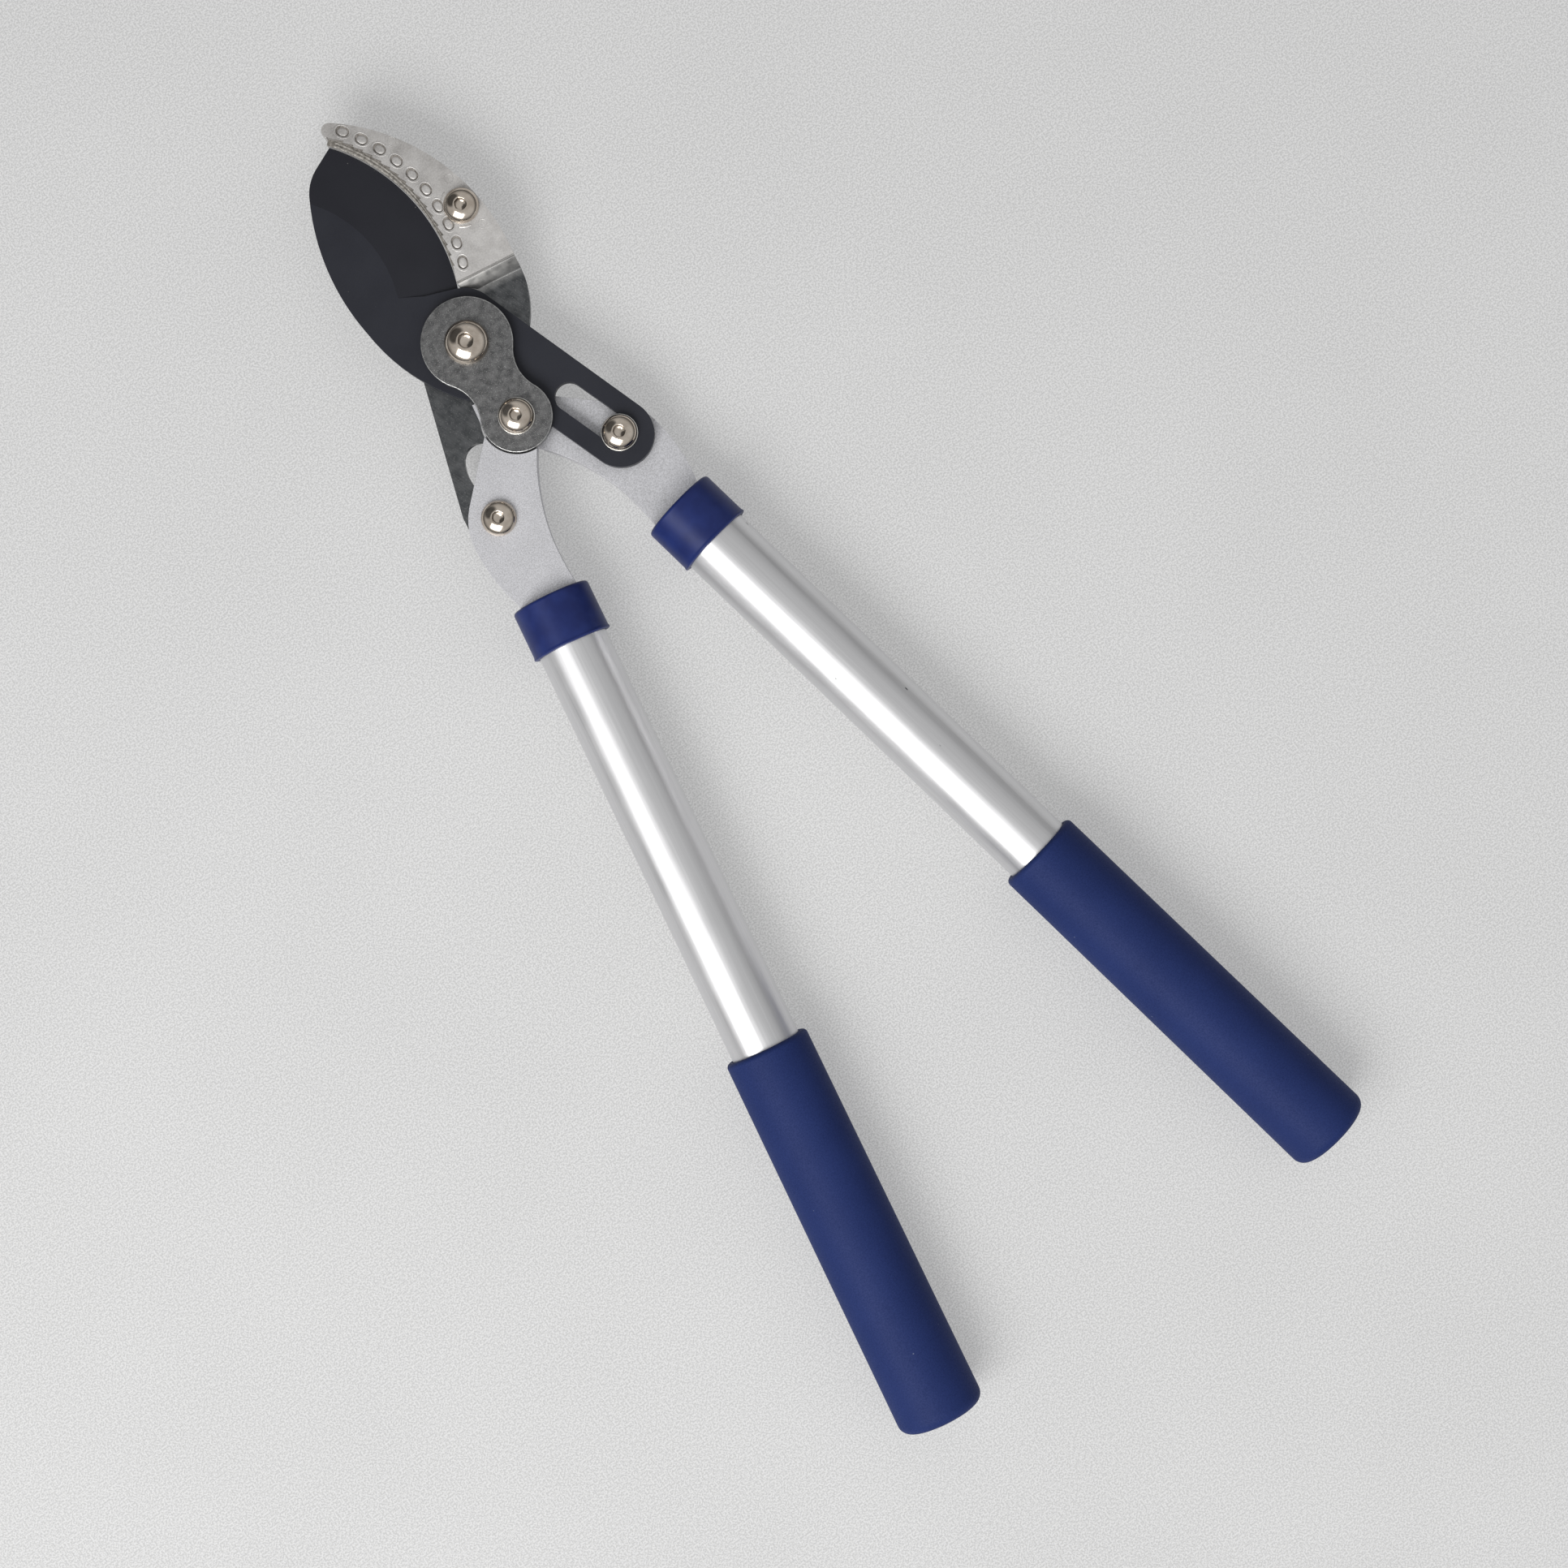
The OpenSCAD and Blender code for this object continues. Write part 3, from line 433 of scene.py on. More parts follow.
# ---------------------------------------------------------------- anvil arm
# Forged steel bar, bolted to the left head and the blade pivot; its front end is joggled forward
# and goes into the anvil pad. Tumbled dark, with fine drawing lines and a painted highlight along the bend.

blade_pivot = middle_of("main_pivot_bolt", 0)
steel = Finish("tumbled forged steel", (0.13, 0.135, 0.14), 1.0, 0.36)
steel_lines = steel.cloud(0.5 * mm, 3, steel.turned(-20, (1, 0.06, 1)))
steel_scale = steel.cloud(3.5 * mm, 4)
steel_grit = steel.specks(0.9 * mm, 0.3)
steel_tone = steel.join(
    "ADD", steel.span(steel_lines, 0.3, 0.7, 0, 0.4), steel.span(steel_scale, 0.35, 0.68, 0, 0.6))
plain_steel = steel.blend(steel_tone, (0.065, 0.069, 0.073), (0.175, 0.18, 0.185))
dark_steel = steel.blend(steel.span(steel_grit, 0, 1, 0, 0.25), plain_steel, (0.38, 0.38, 0.38))
# painted highlight: the bend in front of the pad's heel is painted bright, less so towards the outside
bend_lean = math.radians(-9.2)
bend_way = (-math.sin(bend_lean), math.cos(bend_lean), 0)
bend_at = blade_pivot.dot(Vector(bend_way)) + 21.5 * mm
bend_painted_highlight = steel.join("MULTIPLY", steel.along(bend_way, bend_at - 6 * mm, bend_at - 0.5 * mm),
                      steel.along(bend_way, bend_at + 2.2 * mm, bend_at + 1.4 * mm))
bend_painted_highlight = steel.join("MULTIPLY", bend_painted_highlight,
                      steel.along((1, 0, 0), blade_pivot.x + 38 * mm, blade_pivot.x + 14 * mm, 0.4, 1))
bend_painted_highlight = steel.join("MULTIPLY", bend_painted_highlight, steel.span(steel_scale, 0.3, 0.6, 0.6, 1))
steel.colour_by(bend_painted_highlight, dark_steel, (0.60, 0.59, 0.57))
steel.drive("Metallic", steel.span(bend_painted_highlight, 0, 1, 1, 0.2))
steel.drive("Roughness", steel.join("MAXIMUM", steel.span(steel_tone, 0, 1, 0.42, 0.27),
                                    steel.span(bend_painted_highlight, 0, 1, 0, 0.5)))
steel.relief((steel_lines, 0.02 * mm), (steel_scale, 0.06 * mm))


def on_fold(middle, edge):
    """Whether an edge lies across the arm's bend, between two of its broad faces."""
    near = abs(middle.dot(Vector(bend_way)) - bend_at + 1 * mm) < 3 * mm
    return near and all(abs(f.normal.z) > 0.3 for f in edge.link_faces)


arm = open_copy("anvil_arm")
round_over(arm, edges_over(arm, 20, on_fold), 1.5 * mm, 5)
round_over(arm, edges_over(arm, 50), 0.45 * mm, 2)
finished(arm, "forged_arm", steel, body_with("anvil_arm"), ["anvil_arm"])

# ---------------------------------------------------------------- anvil pad
# Pressure-cast alloy block over the arm's end, held by one screw. Ten oval dimples with small lips
# run along the saw-toothed rim; the marks of the ejector pins and a low bead round the screw show.

pad_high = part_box("anvil_pad")[1].z
land_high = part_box("blade")[1].z
pad_grey = Finish("grey die casting", (0.52, 0.505, 0.49), 0.5, 0.44)
pad_flow = pad_grey.cloud(6 * mm, 4)
pad_grain = pad_grey.cloud(0.6 * mm, 3)
pad_tone = pad_grey.join(
    "ADD", pad_grey.span(pad_flow, 0.33, 0.67, 0, 0.4), pad_grey.span(pad_grain, 0.34, 0.66, 0, 0.25))
# painted light: the pad's tone is painted brighter from the nose towards the heel
painted_light_toward_heel = pad_grey.along(
    (0, 1, 0), blade_pivot.y + 100 * mm, blade_pivot.y + 30 * mm, 0, 0.35)
pad_tone = pad_grey.join("ADD", pad_tone, painted_light_toward_heel)
pad_grey.colour_by(pad_tone, (0.29, 0.278, 0.267), (0.68, 0.665, 0.65))
pad_grey.drive("Roughness", pad_grey.span(pad_flow, 0.33, 0.67, 0.5, 0.38))
pad_grey.relief((pad_grain, 0.04 * mm), (pad_flow, 0.14 * mm))


def painted_shade(name, low, high):
    """Casting painted darker between two tones: painted shade in its hollows and recesses, over a rougher
    skin.
    """
    shaded_cast = Finish(name, low, 0.2, 0.6)
    mottle = shaded_cast.cloud(1.1 * mm, 3)
    shaded_cast.colour_by(shaded_cast.spread(mottle), low, high)
    shaded_cast.rough_by(mottle, 0.7, 0.5)
    shaded_cast.relief((mottle, 0.06 * mm))
    return shaded_cast


# painted shade: a deep and a light shade for the pad's walls, recesses and dimples, and one for the land's
# ribs
deep_painted_shade = painted_shade("casting, soiled dark", (0.12, 0.108, 0.097), (0.27, 0.25, 0.23))
light_painted_shade = painted_shade("casting, soiled lightly", (0.13, 0.12, 0.105), (0.31, 0.29, 0.265))
rib_painted_shade = painted_shade("casting, dulled", (0.17, 0.16, 0.145), (0.40, 0.38, 0.35))

teeth_centre = blade_pivot + Vector((-53.7, 53.3, 0)) * mm
teeth_r = 71.6 * mm
teeth_band = 1.3 * mm     # everything nearer than this to the row belongs to the teeth
row_end = 36              # bearing of the row's far end, in degrees
screw_at = middle_of("anvil_screw", 0)


def from_teeth(point):
    """Distance behind the row of teeth."""
    return (point - teeth_centre).xy.length - teeth_r


pad = open_copy("anvil_pad")
# painted shade: the teeth's walls take the deep painted shade, and the lower flat faces the light one
for face in pad.faces:
    middle = face.calc_center_median()
    in_row = math.degrees(math.atan2(middle.y - teeth_centre.y, middle.x - teeth_centre.x)) < row_end
    if abs(face.normal.z) < 0.5 and from_teeth(middle) < teeth_band and middle.z > land_high and in_row:
        face.material_index = 1
    elif face.normal.z > 0.9 and middle.z < pad_high - 1 * mm:
        face.material_index = 2
tips = edges_over(pad, 50, lambda m, e: from_teeth(m) < teeth_band and m.z > pad_high - 0.05 * mm)
round_over(pad, tips, 0.12 * mm, 1)
rims = edges_over(pad, 50, lambda m, e: from_teeth(m) > teeth_band and e.calc_length() > 0.9 * mm)
round_over(pad, rims, 0.5 * mm, 3)
finished(pad, "anvil_casting", pad_grey, body_with("anvil_pad"), ["anvil_pad"],
         more=[deep_painted_shade, light_painted_shade])


def patch(centre, top, rings, long=1.0, wide=1.0, turn=0.0, segments=32, sweep=(0, 360)):
    """A low oval cap or bead on the casting: rings of (radius, height) about a point."""
    work = bmesh.new()
    full = sweep[1] - sweep[0] >= 360
    rows = []
    for radius, height in rings:
        row = []
        for k in range(segments if full else segments + 1):
            a = math.radians(sweep[0] + (sweep[1] - sweep[0]) * k / segments)
            x, y = radius * math.cos(a) * wide, radius * math.sin(a) * long
            c, s = math.cos(turn), math.sin(turn)
            row.append(work.verts.new((centre.x + x * c - y * s, centre.y + x * s + y * c, top + height)))
        rows.append(row)
    for first, second in zip(rows, rows[1:]):
        for k in range(len(first) if full else len(first) - 1):
            j = (k + 1) % len(first)
            work.faces.new((first[k], first[j], second[j], second[k]))
    bmesh.ops.remove_doubles(work, verts=work.verts, dist=1e-7)
    bmesh.ops.recalc_face_normals(work, faces=work.faces)
    return work


def gathered(parts):
    """Several editable meshes as one."""
    whole = bmesh.new()
    for part in parts:
        held = bpy.data.meshes.new("part")
        part.to_mesh(held)
        part.free()
        whole.from_mesh(held)
        bpy.data.meshes.remove(held)
    return whole


# profiles, each (radius, height above the casting) in mm: a dimple from its lip to its crowned
# floor, the thin raised ring that an ejector pin leaves, and the bead round the screw
dish = [(2.85, -0.05), (2.7, 0.04), (2.55, 0.07), (2.38, 0.04), (2.25, -0.06), (2.12, -0.22), (1.99, -0.42),
        (1.84, -0.56), (1.68, -0.6), (1.53, -0.56), (1.38, -0.46), (1.2, -0.4), (0.7, -0.37), (0, -0.36)]
pin_ring = [(1.9, -0.02), (1.84, 0.06), (1.74, 0.08), (1.66, 0.05), (1.6, -0.02)]
screw_bead = [(8.75, -0.03), (8.6, 0.14), (8.35, 0.24), (8.1, 0.14), (7.9, -0.03)]

dimples = 10
dimple_first = 35.3       # bearing of the dimple at the nose, in degrees
dimple_sweep = 57
dimple_row_r = 72.9 * mm
dimple_centre = blade_pivot + Vector((-50.6, 53.4, 0)) * mm
dish_sides = 32
shaded_bands = range(4, 9)    # the dish's bands on its walls, which take the painted shade


def in_mm(profile):
    """A profile given in millimetres, in the script's metres."""
    return [(radius * mm, height * mm) for radius, height in profile]


marks = []
for k in range(dimples):
    bearing = math.radians(dimple_first - dimple_sweep / (dimples - 1) * k)
    spot = dimple_centre + Vector((math.cos(bearing), math.sin(bearing), 0)) * dimple_row_r
    marks.append(patch(spot, pad_high, in_mm(dish), 1.32, 1.0, bearing, dish_sides))
    # painted shade: the dimples' wall bands are painted dark
    for place, face in enumerate(marks[-1].faces):
        face.material_index = 1 if place // dish_sides in shaded_bands else 0
for x, y in ((22.3, 81.1), (31.8, 56.2), (32.2, 34.3)):
    marks.append(patch(blade_pivot + Vector((x, y, 0)) * mm, pad_high, in_mm(pin_ring)))
for sweep in ((106, 130), (230, 262)):
    marks.append(patch(screw_at, pad_high, in_mm(screw_bead), segments=12, sweep=sweep))
finished(gathered(marks), "anvil_dimples", pad_grey, body_with("anvil_pad"), more=[deep_painted_shade])

# the land between the teeth and the edge carries two low ribs with a groove between them
edge_centre = blade_pivot + Vector((-58.3, 50.4, 0)) * mm
land_r = 74.55 * mm
land_start, land_sweep = -17.5, 53    # bearings from the centre of the teeth, in degrees
land_steps = 72
rib_high = 0.22 * mm
rib_full = 1.2 * mm       # width of the land from which on the ribs have their whole height
# each rib from one foot to the other: (share of the land's width, share of the rib's height)
rib_profiles = (((0.03, -0.1), (0.12, 0.7), (0.3, 1), (0.42, 0.6), (0.46, -0.1)),
                ((0.6, -0.1), (0.68, 0.5), (0.84, 0.7), (0.96, -0.1)))
apart = (teeth_centre - edge_centre).xy
ribs = bmesh.new()
for profile in rib_profiles:
    rows = []
    for k in range(land_steps + 1):
        bearing = math.radians(land_start + land_sweep * k / land_steps)
        way = Vector((math.cos(bearing), math.sin(bearing), 0))
        reach = apart.dot(way.xy)
        inner = -reach + math.sqrt(reach ** 2 - apart.length ** 2 + land_r ** 2)
        wide = teeth_r - inner
        tall = rib_high * min(1, wide / rib_full)
        rows.append([
            ribs.verts.new((*(teeth_centre + way * (inner + wide * share)).xy, land_high + tall * height))
            for share, height in profile])
    for first, second in zip(rows, rows[1:]):
        for k in range(len(profile) - 1):
            ribs.faces.new((first[k], first[k + 1], second[k + 1], second[k]))
bmesh.ops.recalc_face_normals(ribs, faces=ribs.faces)
for face in ribs.faces:
    if face.normal.z < 0:
        face.normal_flip()
# painted shade: the ribs in the recessed land are painted darker, over a rougher skin
finished(ribs, "anvil_land_ribs", rib_painted_shade, body_with("anvil_pad"))

# ---------------------------------------------------------------- blade
# Hardened carbon steel with a matt black low-friction coating on every face. The edge is ground
# in one wide curved bevel; the slotted tail takes the bush of the slot bolt.


def coat(name, low, high, rough):
    """The matt coating, its tone between two colours."""
    coating = Finish(name, low, 0.0, rough)
    grain = coating.cloud(0.45 * mm, 2)
    flow = coating.cloud(18 * mm, 3)
    lint = coating.specks(6.5 * mm, 0.035)
    hairlines = coating.specks(5 * mm, 0.035, coating.turned(62, (1, 0.05, 1)))
    scratches = coating.join("MULTIPLY", hairlines, coating.span(coating.cloud(35 * mm, 0), 0.5, 0.6, 0, 1))
    tone = coating.join("ADD", coating.span(grain, 0.3, 0.7, 0, 0.5), coating.spread(flow, 0.5))
    wear = coating.join(
        "MAXIMUM", coating.span(lint, 0, 1, 0, 0.35), coating.span(scratches, 0, 1, 0, 0.16))
    coating.colour_by(wear, coating.blend(tone, low, high), (0.35, 0.34, 0.32))
    coating.drive("Roughness", coating.span(flow, 0.35, 0.65, rough - 0.06, rough + 0.04))
    coating.shader.inputs["Specular IOR Level"].default_value = 0.3
    coating.relief((grain, 0.012 * mm))
    return coating


face_coat = coat("matt black coating", (0.0138, 0.0148, 0.0215), (0.019, 0.0205, 0.0285), 0.5)
# painted shade: the ground bevel's coating is painted darker than the flat faces
bevel_painted_shade_coat = coat("coating on the ground bevel, painted darker as shade", (0.0105, 0.011, 0.016), (0.0145, 0.0152, 0.0213), 0.56)

blank = open_copy("blade")
sides = edges_over(blank, 50, lambda m, e: max(abs(f.normal.z) for f in e.link_faces) > 0.9998)
round_over(blank, sides, 0.5 * mm, 3)
mark = blank.edges.layers.float.new("crease_mark")
for face in blank.faces:    # the bevel's facets lean a little, and the slivers of the rounding are small
    if 0.98 < abs(face.normal.z) < 0.9992 and face.calc_area() > 4 * mm ** 2:
        face.material_index = 1
for edge in blank.edges:
    if len({f.material_index for f in edge.link_faces}) == 2:
        edge[mark] = 1
finished(blank, "coated_blade", face_coat, body_with("blade"), ["blade"],
         more=[bevel_painted_shade_coat])

# ---------------------------------------------------------------- link plate
# Waisted steel plate over the blade pivot and the handle pivot. Tumbled after blanking, which
# leaves a dark speckled face and rubs the rim to a thin bright line.

plate_steel = Finish("tumbled steel plate", (0.075, 0.077, 0.08), 1.0, 0.42)
plate_grit = plate_steel.cloud(0.3 * mm, 6)
plate_cloud = plate_steel.cloud(3 * mm, 4)
plate_spark = plate_steel.specks(0.38 * mm, 0.38)
plate_fleck = plate_steel.cloud(0.9 * mm, 3)
plate_tone = plate_steel.join(
    "ADD", plate_steel.span(plate_grit, 0.35, 0.7, 0, 0.5), plate_steel.spread(plate_cloud, 0.5))
plate_sparkle = plate_steel.join("MULTIPLY", plate_spark, plate_steel.span(plate_fleck, 0.4, 0.7, 0, 0.8))
plate_grey = plate_steel.blend(plate_tone, (0.075, 0.076, 0.078), (0.27, 0.27, 0.27))
plate_steel.colour_by(plate_sparkle, plate_grey, (0.60, 0.60, 0.59))
plate_steel.drive("Roughness", plate_steel.span(plate_grit, 0.35, 0.65, 0.52, 0.3))
plate_steel.relief((plate_grit, 0.09 * mm))
rubbed = Finish("rubbed steel edge", (0.48, 0.48, 0.47), 1.0, 0.3)
rub = rubbed.cloud(1.5 * mm, 3)
rubbed.colour_by(rubbed.spread(rub), (0.3, 0.3, 0.3), (0.58, 0.58, 0.57))
rubbed.rough_by(rub, 0.4, 0.25)
rubbed.relief((rub, 0.02 * mm))

plate = open_copy("link_plate")
for face in round_over(plate, edges_over(plate, 50), 0.35 * mm, 2):
    face.material_index = 1
finished(plate, "waisted_link", plate_steel, body_with("link_plate"), ["link_plate"],
         more=[rubbed])

# ---------------------------------------------------------------- bolts and the anvil screw
# Button-head socket screws, M10 at the blade pivot and M8 elsewhere, turned from bar and polished
# under bright nickel. The hexagon socket has a small lead-in and a drilled, coned floor, and
# painted shade darkens its walls.

nickel = Finish("polished nickel", (0.62, 0.54, 0.46), 1.0, 0.12)
# painted reflection: the large mottled patches stand for the room's reflections, as well as wipe marks
wipes_and_painted_reflection = nickel.cloud(4 * mm, 2)
nickel_pits = nickel.specks(1.6 * mm, 0.09)
clean_nickel = nickel.blend(nickel.spread(wipes_and_painted_reflection), (0.53, 0.46, 0.39), (0.68, 0.61, 0.53))
nickel.colour_by(nickel.span(nickel_pits, 0, 1, 0, 0.5), clean_nickel, (0.2, 0.15, 0.11))
nickel.rough_by(wipes_and_painted_reflection, 0.1, 0.18)
nickel.relief((wipes_and_painted_reflection, 0.01 * mm))

socket_painted_shade = Finish("nickel, painted shade inside the socket", (0.24, 0.2, 0.165), 1.0, 0.3)
socket_shade_mottle = socket_painted_shade.cloud(1 * mm, 2)
socket_painted_shade.colour_by(socket_shade_mottle, (0.16, 0.135, 0.11), (0.32, 0.275, 0.23))
socket_painted_shade.rough_by(socket_shade_mottle, 0.24, 0.4)
socket_painted_shade.relief((socket_shade_mottle, 0.01 * mm))


def hexagon(across, turn=0.0):
    """Radius of a hexagon at each angle, by its size across the flats."""
    return lambda angle: across / 2 / math.cos(math.radians((angle + turn) % 60 - 30))


def part_hexagon(across, radius, share, turn):
    """Between a circle, at share 0, and a hexagon, at share 1."""
    return lambda angle: radius + (hexagon(across, turn)(angle) - radius) * share


def button_head(node, size, turn):
    """A button-head screw in a CAD node's place: size is its thread's diameter, and turn is how
    far its socket is turned, in degrees."""
    low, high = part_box(node)
    cap_r, cap_h = 0.875 * size, 0.55 * size
    seat = high.z - cap_h
    shank = size / 2
    tail = low.z - seat
    lip = 0.16 * cap_h            # upright stretch under the dome
    crest = 0.4 * cap_r           # flat round the socket
    crown = (cap_h - lip) / math.sqrt(1 - (crest / cap_r) ** 2)
    dome_steps = 16
    across = 0.55 * size          # of the socket, over its flats
    hole = across / 2
    floor_h = 0.48 * cap_h
    point_h = floor_h - 0.15 * size
    rings = [(tail, 0), (tail, shank - 0.6 * mm), (tail + 0.6 * mm, shank), (0, shank),
             (0, cap_r - 0.25 * mm), (0.08 * mm, cap_r - 0.08 * mm), (0.25 * mm, cap_r), (lip, cap_r)]
    for k in range(1, dome_steps + 1):
        a = math.acos(crest / cap_r) * k / dome_steps
        rings.append((lip + crown * math.sin(a), cap_r * math.cos(a)))
    rings += [(cap_h, part_hexagon(across, 1.2 * hole, 0.1, turn)),
              (cap_h - 0.1 * mm, part_hexagon(across, 1.12 * hole, 0.5, turn)),
              (cap_h - 0.35 * mm, hexagon(across, turn)), (floor_h, hexagon(across, turn)),
              (floor_h - 0.1 * mm, 0.85 * hole), (point_h, 0)]
    at = middle_of(node, seat)
    screw = turned_piece(at, (0, 0, 1), rings, segments=96, closed=False)
    # painted shade: the socket's lead-in and walls take the darker nickel
    for face in screw.faces:
        middle = face.calc_center_median() - at
        if 0.6 * hole < middle.xy.length < 1.12 * hole and 0 < middle.z < cap_h - 0.08 * mm:
            face.material_index = 1
    finished(screw, f"{node}_nickel", nickel, body_with(node), [node], sharp=38,
             more=[socket_painted_shade])


button_head("main_pivot_bolt", 10 * mm, 12)
button_head("handle_pivot_bolt", 8 * mm, 40)
button_head("slot_bolt", 8 * mm, 25)
button_head("arm_bolt", 8 * mm, 3)
button_head("anvil_screw", 8 * mm, 50)

# ---------------------------------------------------------------- washers and bushes
# Stamped washers with softened edges, bright at the handle pivot and the slot bolt and zinc plated
# under the back nuts; brass bushes at the two pivots and a steel bush in the blade's slot.

bright = Finish("bright washer", (0.68, 0.67, 0.64), 1.0, 0.2)
bright_wipe = bright.cloud(1.2 * mm, 3)
bright.colour_by(bright_wipe, (0.58, 0.57, 0.54), (0.76, 0.75, 0.72))
bright.rough_by(bright_wipe, 0.16, 0.3)
bright.relief((bright_wipe, 0.01 * mm))
brass = Finish("turned brass", (0.56, 0.40, 0.16), 1.0, 0.3)
brass_lines = brass.cloud(0.4 * mm, 2, brass.turned(0, (0.1, 0.1, 1)))
brass.colour_by(brass_lines, (0.46, 0.32, 0.12), (0.64, 0.47, 0.2))
brass.rough_by(brass_lines, 0.24, 0.4)
brass.relief((brass_lines, 0.015 * mm))

for node, finish in (("handle_pivot_washers", bright), ("slot_washers", bright), ("back_washers", zinc)):
    washers = open_copy(node)
    round_over(washers, edges_over(washers, 50), 0.2 * mm, 2)
    finished(washers, f"{node}_stamped", finish, body_with(node), [node])
for node, finish in (("main_pivot_bush", brass), ("handle_pivot_bush", brass), ("slot_bush", zinc)):
    nodes[node].data.materials.clear()
    nodes[node].data.materials.append(finish.made)

# ---------------------------------------------------------------- lock nuts
# Hexagon lock nuts at the back of every bolt: chamfered corners, zinc plate, and a ring of nylon
# rolled into the collar that grips the thread.

nylon = Finish("nylon ring", (0.55, 0.56, 0.52), 0.0, 0.45)
nylon_skin = nylon.cloud(0.8 * mm, 2)
nylon.colour_by(nylon_skin, (0.46, 0.47, 0.43), (0.62, 0.63, 0.59))
nylon.rough_by(nylon_skin, 0.4, 0.52)
nylon.relief((nylon_skin, 0.02 * mm))
nylon.shader.inputs["Subsurface Weight"].default_value = 0.15
nylon.shader.inputs["Subsurface Radius"].default_value = (0.002, 0.002, 0.0015)


def cut_hexagon(across, radius):
    """A hexagon whose corners are turned off at a radius."""
    whole = hexagon(across)
    return lambda angle: min(whole(angle), radius)


def lock_nut(node, size):
    """A lock nut in a CAD node's place, its plated body and its nylon ring: size is its thread's
    diameter, and its rings run back from the seat."""
    low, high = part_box(node)
    at = middle_of(node, high.z)
    across, tall = 1.62 * size, high.z - low.z
    flat = across / 2
    corner = flat / math.cos(math.radians(30)) - 0.1 * mm
    hex_end = 0.7 * tall          # where the hexagon ends and the collar begins
    bore = size / 2 + 0.05 * mm
    collar = 0.43 * across
    rolled = 0.8 * mm             # rounding of the collar over the nylon
    rings = [(0, bore + 0.4 * mm), (0, flat - 0.1 * mm),
             (0.35 * mm, cut_hexagon(across, flat + 0.35 * mm)),
             (0.8 * mm, cut_hexagon(across, corner)), (hex_end - 0.8 * mm, cut_hexagon(across, corner)),
             (hex_end - 0.25 * mm, cut_hexagon(across, flat + 0.3 * mm)), (hex_end, flat - 0.15 * mm),
             (hex_end + 0.1 * mm, collar + 0.1 * mm), (hex_end + 0.4 * mm, collar)]
    rings += fillet(tall - rolled, collar - rolled, rolled, 0, 90, 5)
    rings += [(tall, collar - 1.0 * mm), (tall - 0.5 * mm, collar - 1.1 * mm),
              (tall - 1.6 * mm, bore + 0.3 * mm), (tall - 1.8 * mm, bore), (0.4 * mm, bore)]
    plated = turned_piece(at, (0, 0, -1), rings, segments=96)
    finished(plated, f"{node}_plated", zinc, body_with(node), [node], sharp=30)
    rings = fillet(tall - 0.9 * mm, bore + 0.5 * mm, 0.45 * mm, 180, 0, 8)
    rings += [(tall - 0.9 * mm, collar - 1.0 * mm), (tall - 1.5 * mm, collar - 1.0 * mm),
              (tall - 1.5 * mm, bore + 0.05 * mm)]
    ring = turned_piece(at, (0, 0, -1), rings, segments=64)
    finished(ring, f"{node}_nylon", nylon, body_with(node))


lock_nut("main_pivot_nut", 10 * mm)
for node in ("handle_pivot_nut", "slot_nut", "arm_nut", "anvil_nut"):
    lock_nut(node, 8 * mm)

# ---------------------------------------------------------------- table, light and camera
# The tool lies on a sheet of pale grey paper, lit a little from below as on a light table, under
# one wide soft light from the low left of the view, and is seen from straight above. The room is
# even and pale overhead, darker low down and darker beyond the jaws.

paper = Finish("pale grey paper", (0.3, 0.3, 0.3), 0.0, 0.9)
paper_grain = paper.cloud(0.7 * mm, 2)
paper_cloud = paper.cloud(120 * mm, 3)
paper_tone = paper.join(
    "ADD", paper.span(paper_grain, 0.4, 0.6, 0, 0.9), paper.spread(paper_cloud, 0.1))
paper.colour_by(paper_tone, (0.25, 0.25, 0.25), (0.35, 0.35, 0.35))
paper.drive("Emission Color", paper.blend(paper_tone, (0.29, 0.29, 0.29), (0.37, 0.37, 0.37)))
paper.shader.inputs["Emission Strength"].default_value = 1.0
paper.shader.inputs["Specular IOR Level"].default_value = 0.1
paper.relief((paper_grain, 0.05 * mm))
half_sheet = 3.0
under_tool = 0.2 * mm
sheet = bmesh.new()
bmesh.ops.create_grid(sheet, x_segments=8, y_segments=8, size=half_sheet)
ground = bpy.data.meshes.new("paper")
sheet.to_mesh(ground)
sheet.free()
ground.materials.append(paper.made)
floor = bpy.data.objects.new("paper", ground)
floor.location.z = cad_low.z - under_tool
bpy.context.scene.collection.objects.link(floor)

view_right = Vector((0.810, -0.586, 0)).normalized()
view_up = Vector((0.586, 0.810, 0)).normalized()


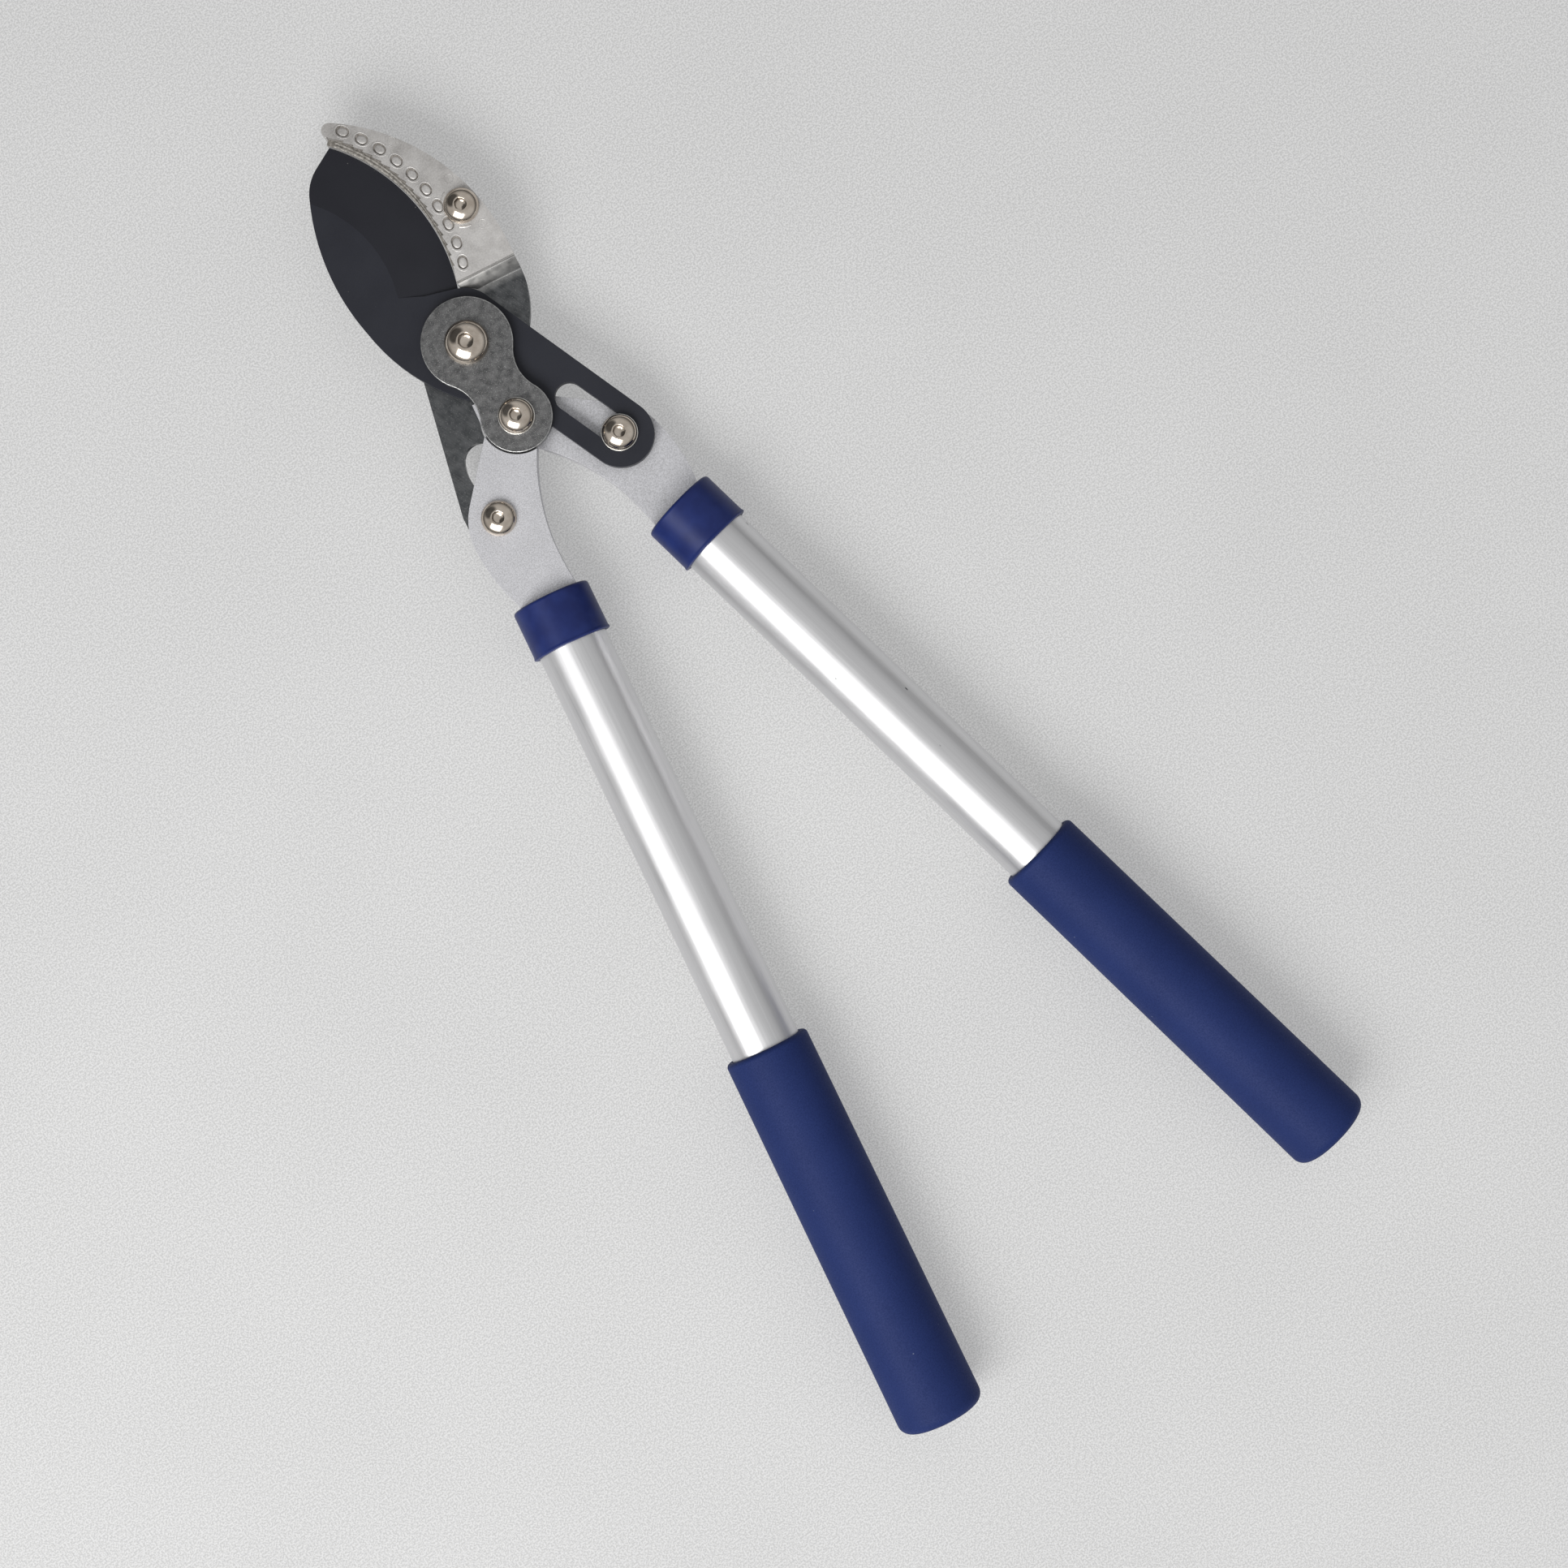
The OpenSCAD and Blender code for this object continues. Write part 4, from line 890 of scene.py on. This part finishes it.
def softbox(name, across, up, high, size, watts, colour):
    """A soft light placed by the view's own directions, aimed at the middle of the tool."""
    lamp = bpy.data.lights.new(name, "AREA")
    lamp.shape = "RECTANGLE"
    lamp.size, lamp.size_y = size
    lamp.energy = watts
    lamp.color = colour
    holder = bpy.data.objects.new(name, lamp)
    middle = Vector((0, 0, axis_z))
    holder.location = middle + view_right * across + view_up * up + Vector((0, 0, high))
    holder.rotation_euler = (middle - holder.location).to_track_quat("-Z", "Y").to_euler()
    bpy.context.scene.collection.objects.link(holder)


softbox("key", -0.5, -1.05, 1.3, (1.4, 1.0), 30, (1, 0.995, 0.985))

room = bpy.data.worlds.new("studio")
room.use_nodes = True
make, links = room.node_tree.nodes.new, room.node_tree.links
backdrop = room.node_tree.nodes["Background"]
sky = make("ShaderNodeTexCoord").outputs["Generated"]
height = make("ShaderNodeSeparateXYZ")
shade = make("ShaderNodeValToRGB")
steps = shade.color_ramp.elements
steps.new(0.14)
steps.new(0.5)
for step, (at, grey) in zip(steps, ((0, 0.1), (0.14, 0.13), (0.5, 0.57), (1, 0.56))):
    step.position = at
    step.color = (grey, grey, grey, 1)
links.new(sky, height.inputs[0])
links.new(height.outputs["Z"], shade.inputs[0])
links.new(shade.outputs[0], backdrop.inputs["Color"])

beyond_jaws = make("ShaderNodeVectorMath")
beyond_jaws.operation = "DOT_PRODUCT"
beyond_jaws.inputs[1].default_value = Vector((-0.25, 0.72, 0.62)).normalized()
wall = make("ShaderNodeMapRange")
for name, value in (("From Min", 0.86), ("From Max", 0.93), ("To Min", 1.0), ("To Max", 0.16)):
    wall.inputs[name].default_value = value
links.new(sky, beyond_jaws.inputs[0])
links.new(beyond_jaws.outputs["Value"], wall.inputs["Value"])
links.new(wall.outputs[0], backdrop.inputs["Strength"])
bpy.context.scene.world = room
bpy.context.scene.view_settings.view_transform = "Standard"

half_view = 0.284118      # half of what is seen across, over the distance
eye_height = 1088 * mm    # above the tubes' axes
under_eye = pivot + Vector((0.43, -177.84, 0)) * mm
eye = bpy.data.cameras.new("camera")
eye.angle = 2 * math.atan(half_view)
eye.clip_start, eye.clip_end = 0.05, 20
camera = bpy.data.objects.new("camera", eye)
camera.location = under_eye + Vector((0, 0, eye_height))
camera.rotation_euler = (0, 0, math.atan2(view_right.y, view_right.x))
bpy.context.scene.collection.objects.link(camera)
bpy.context.scene.camera = camera
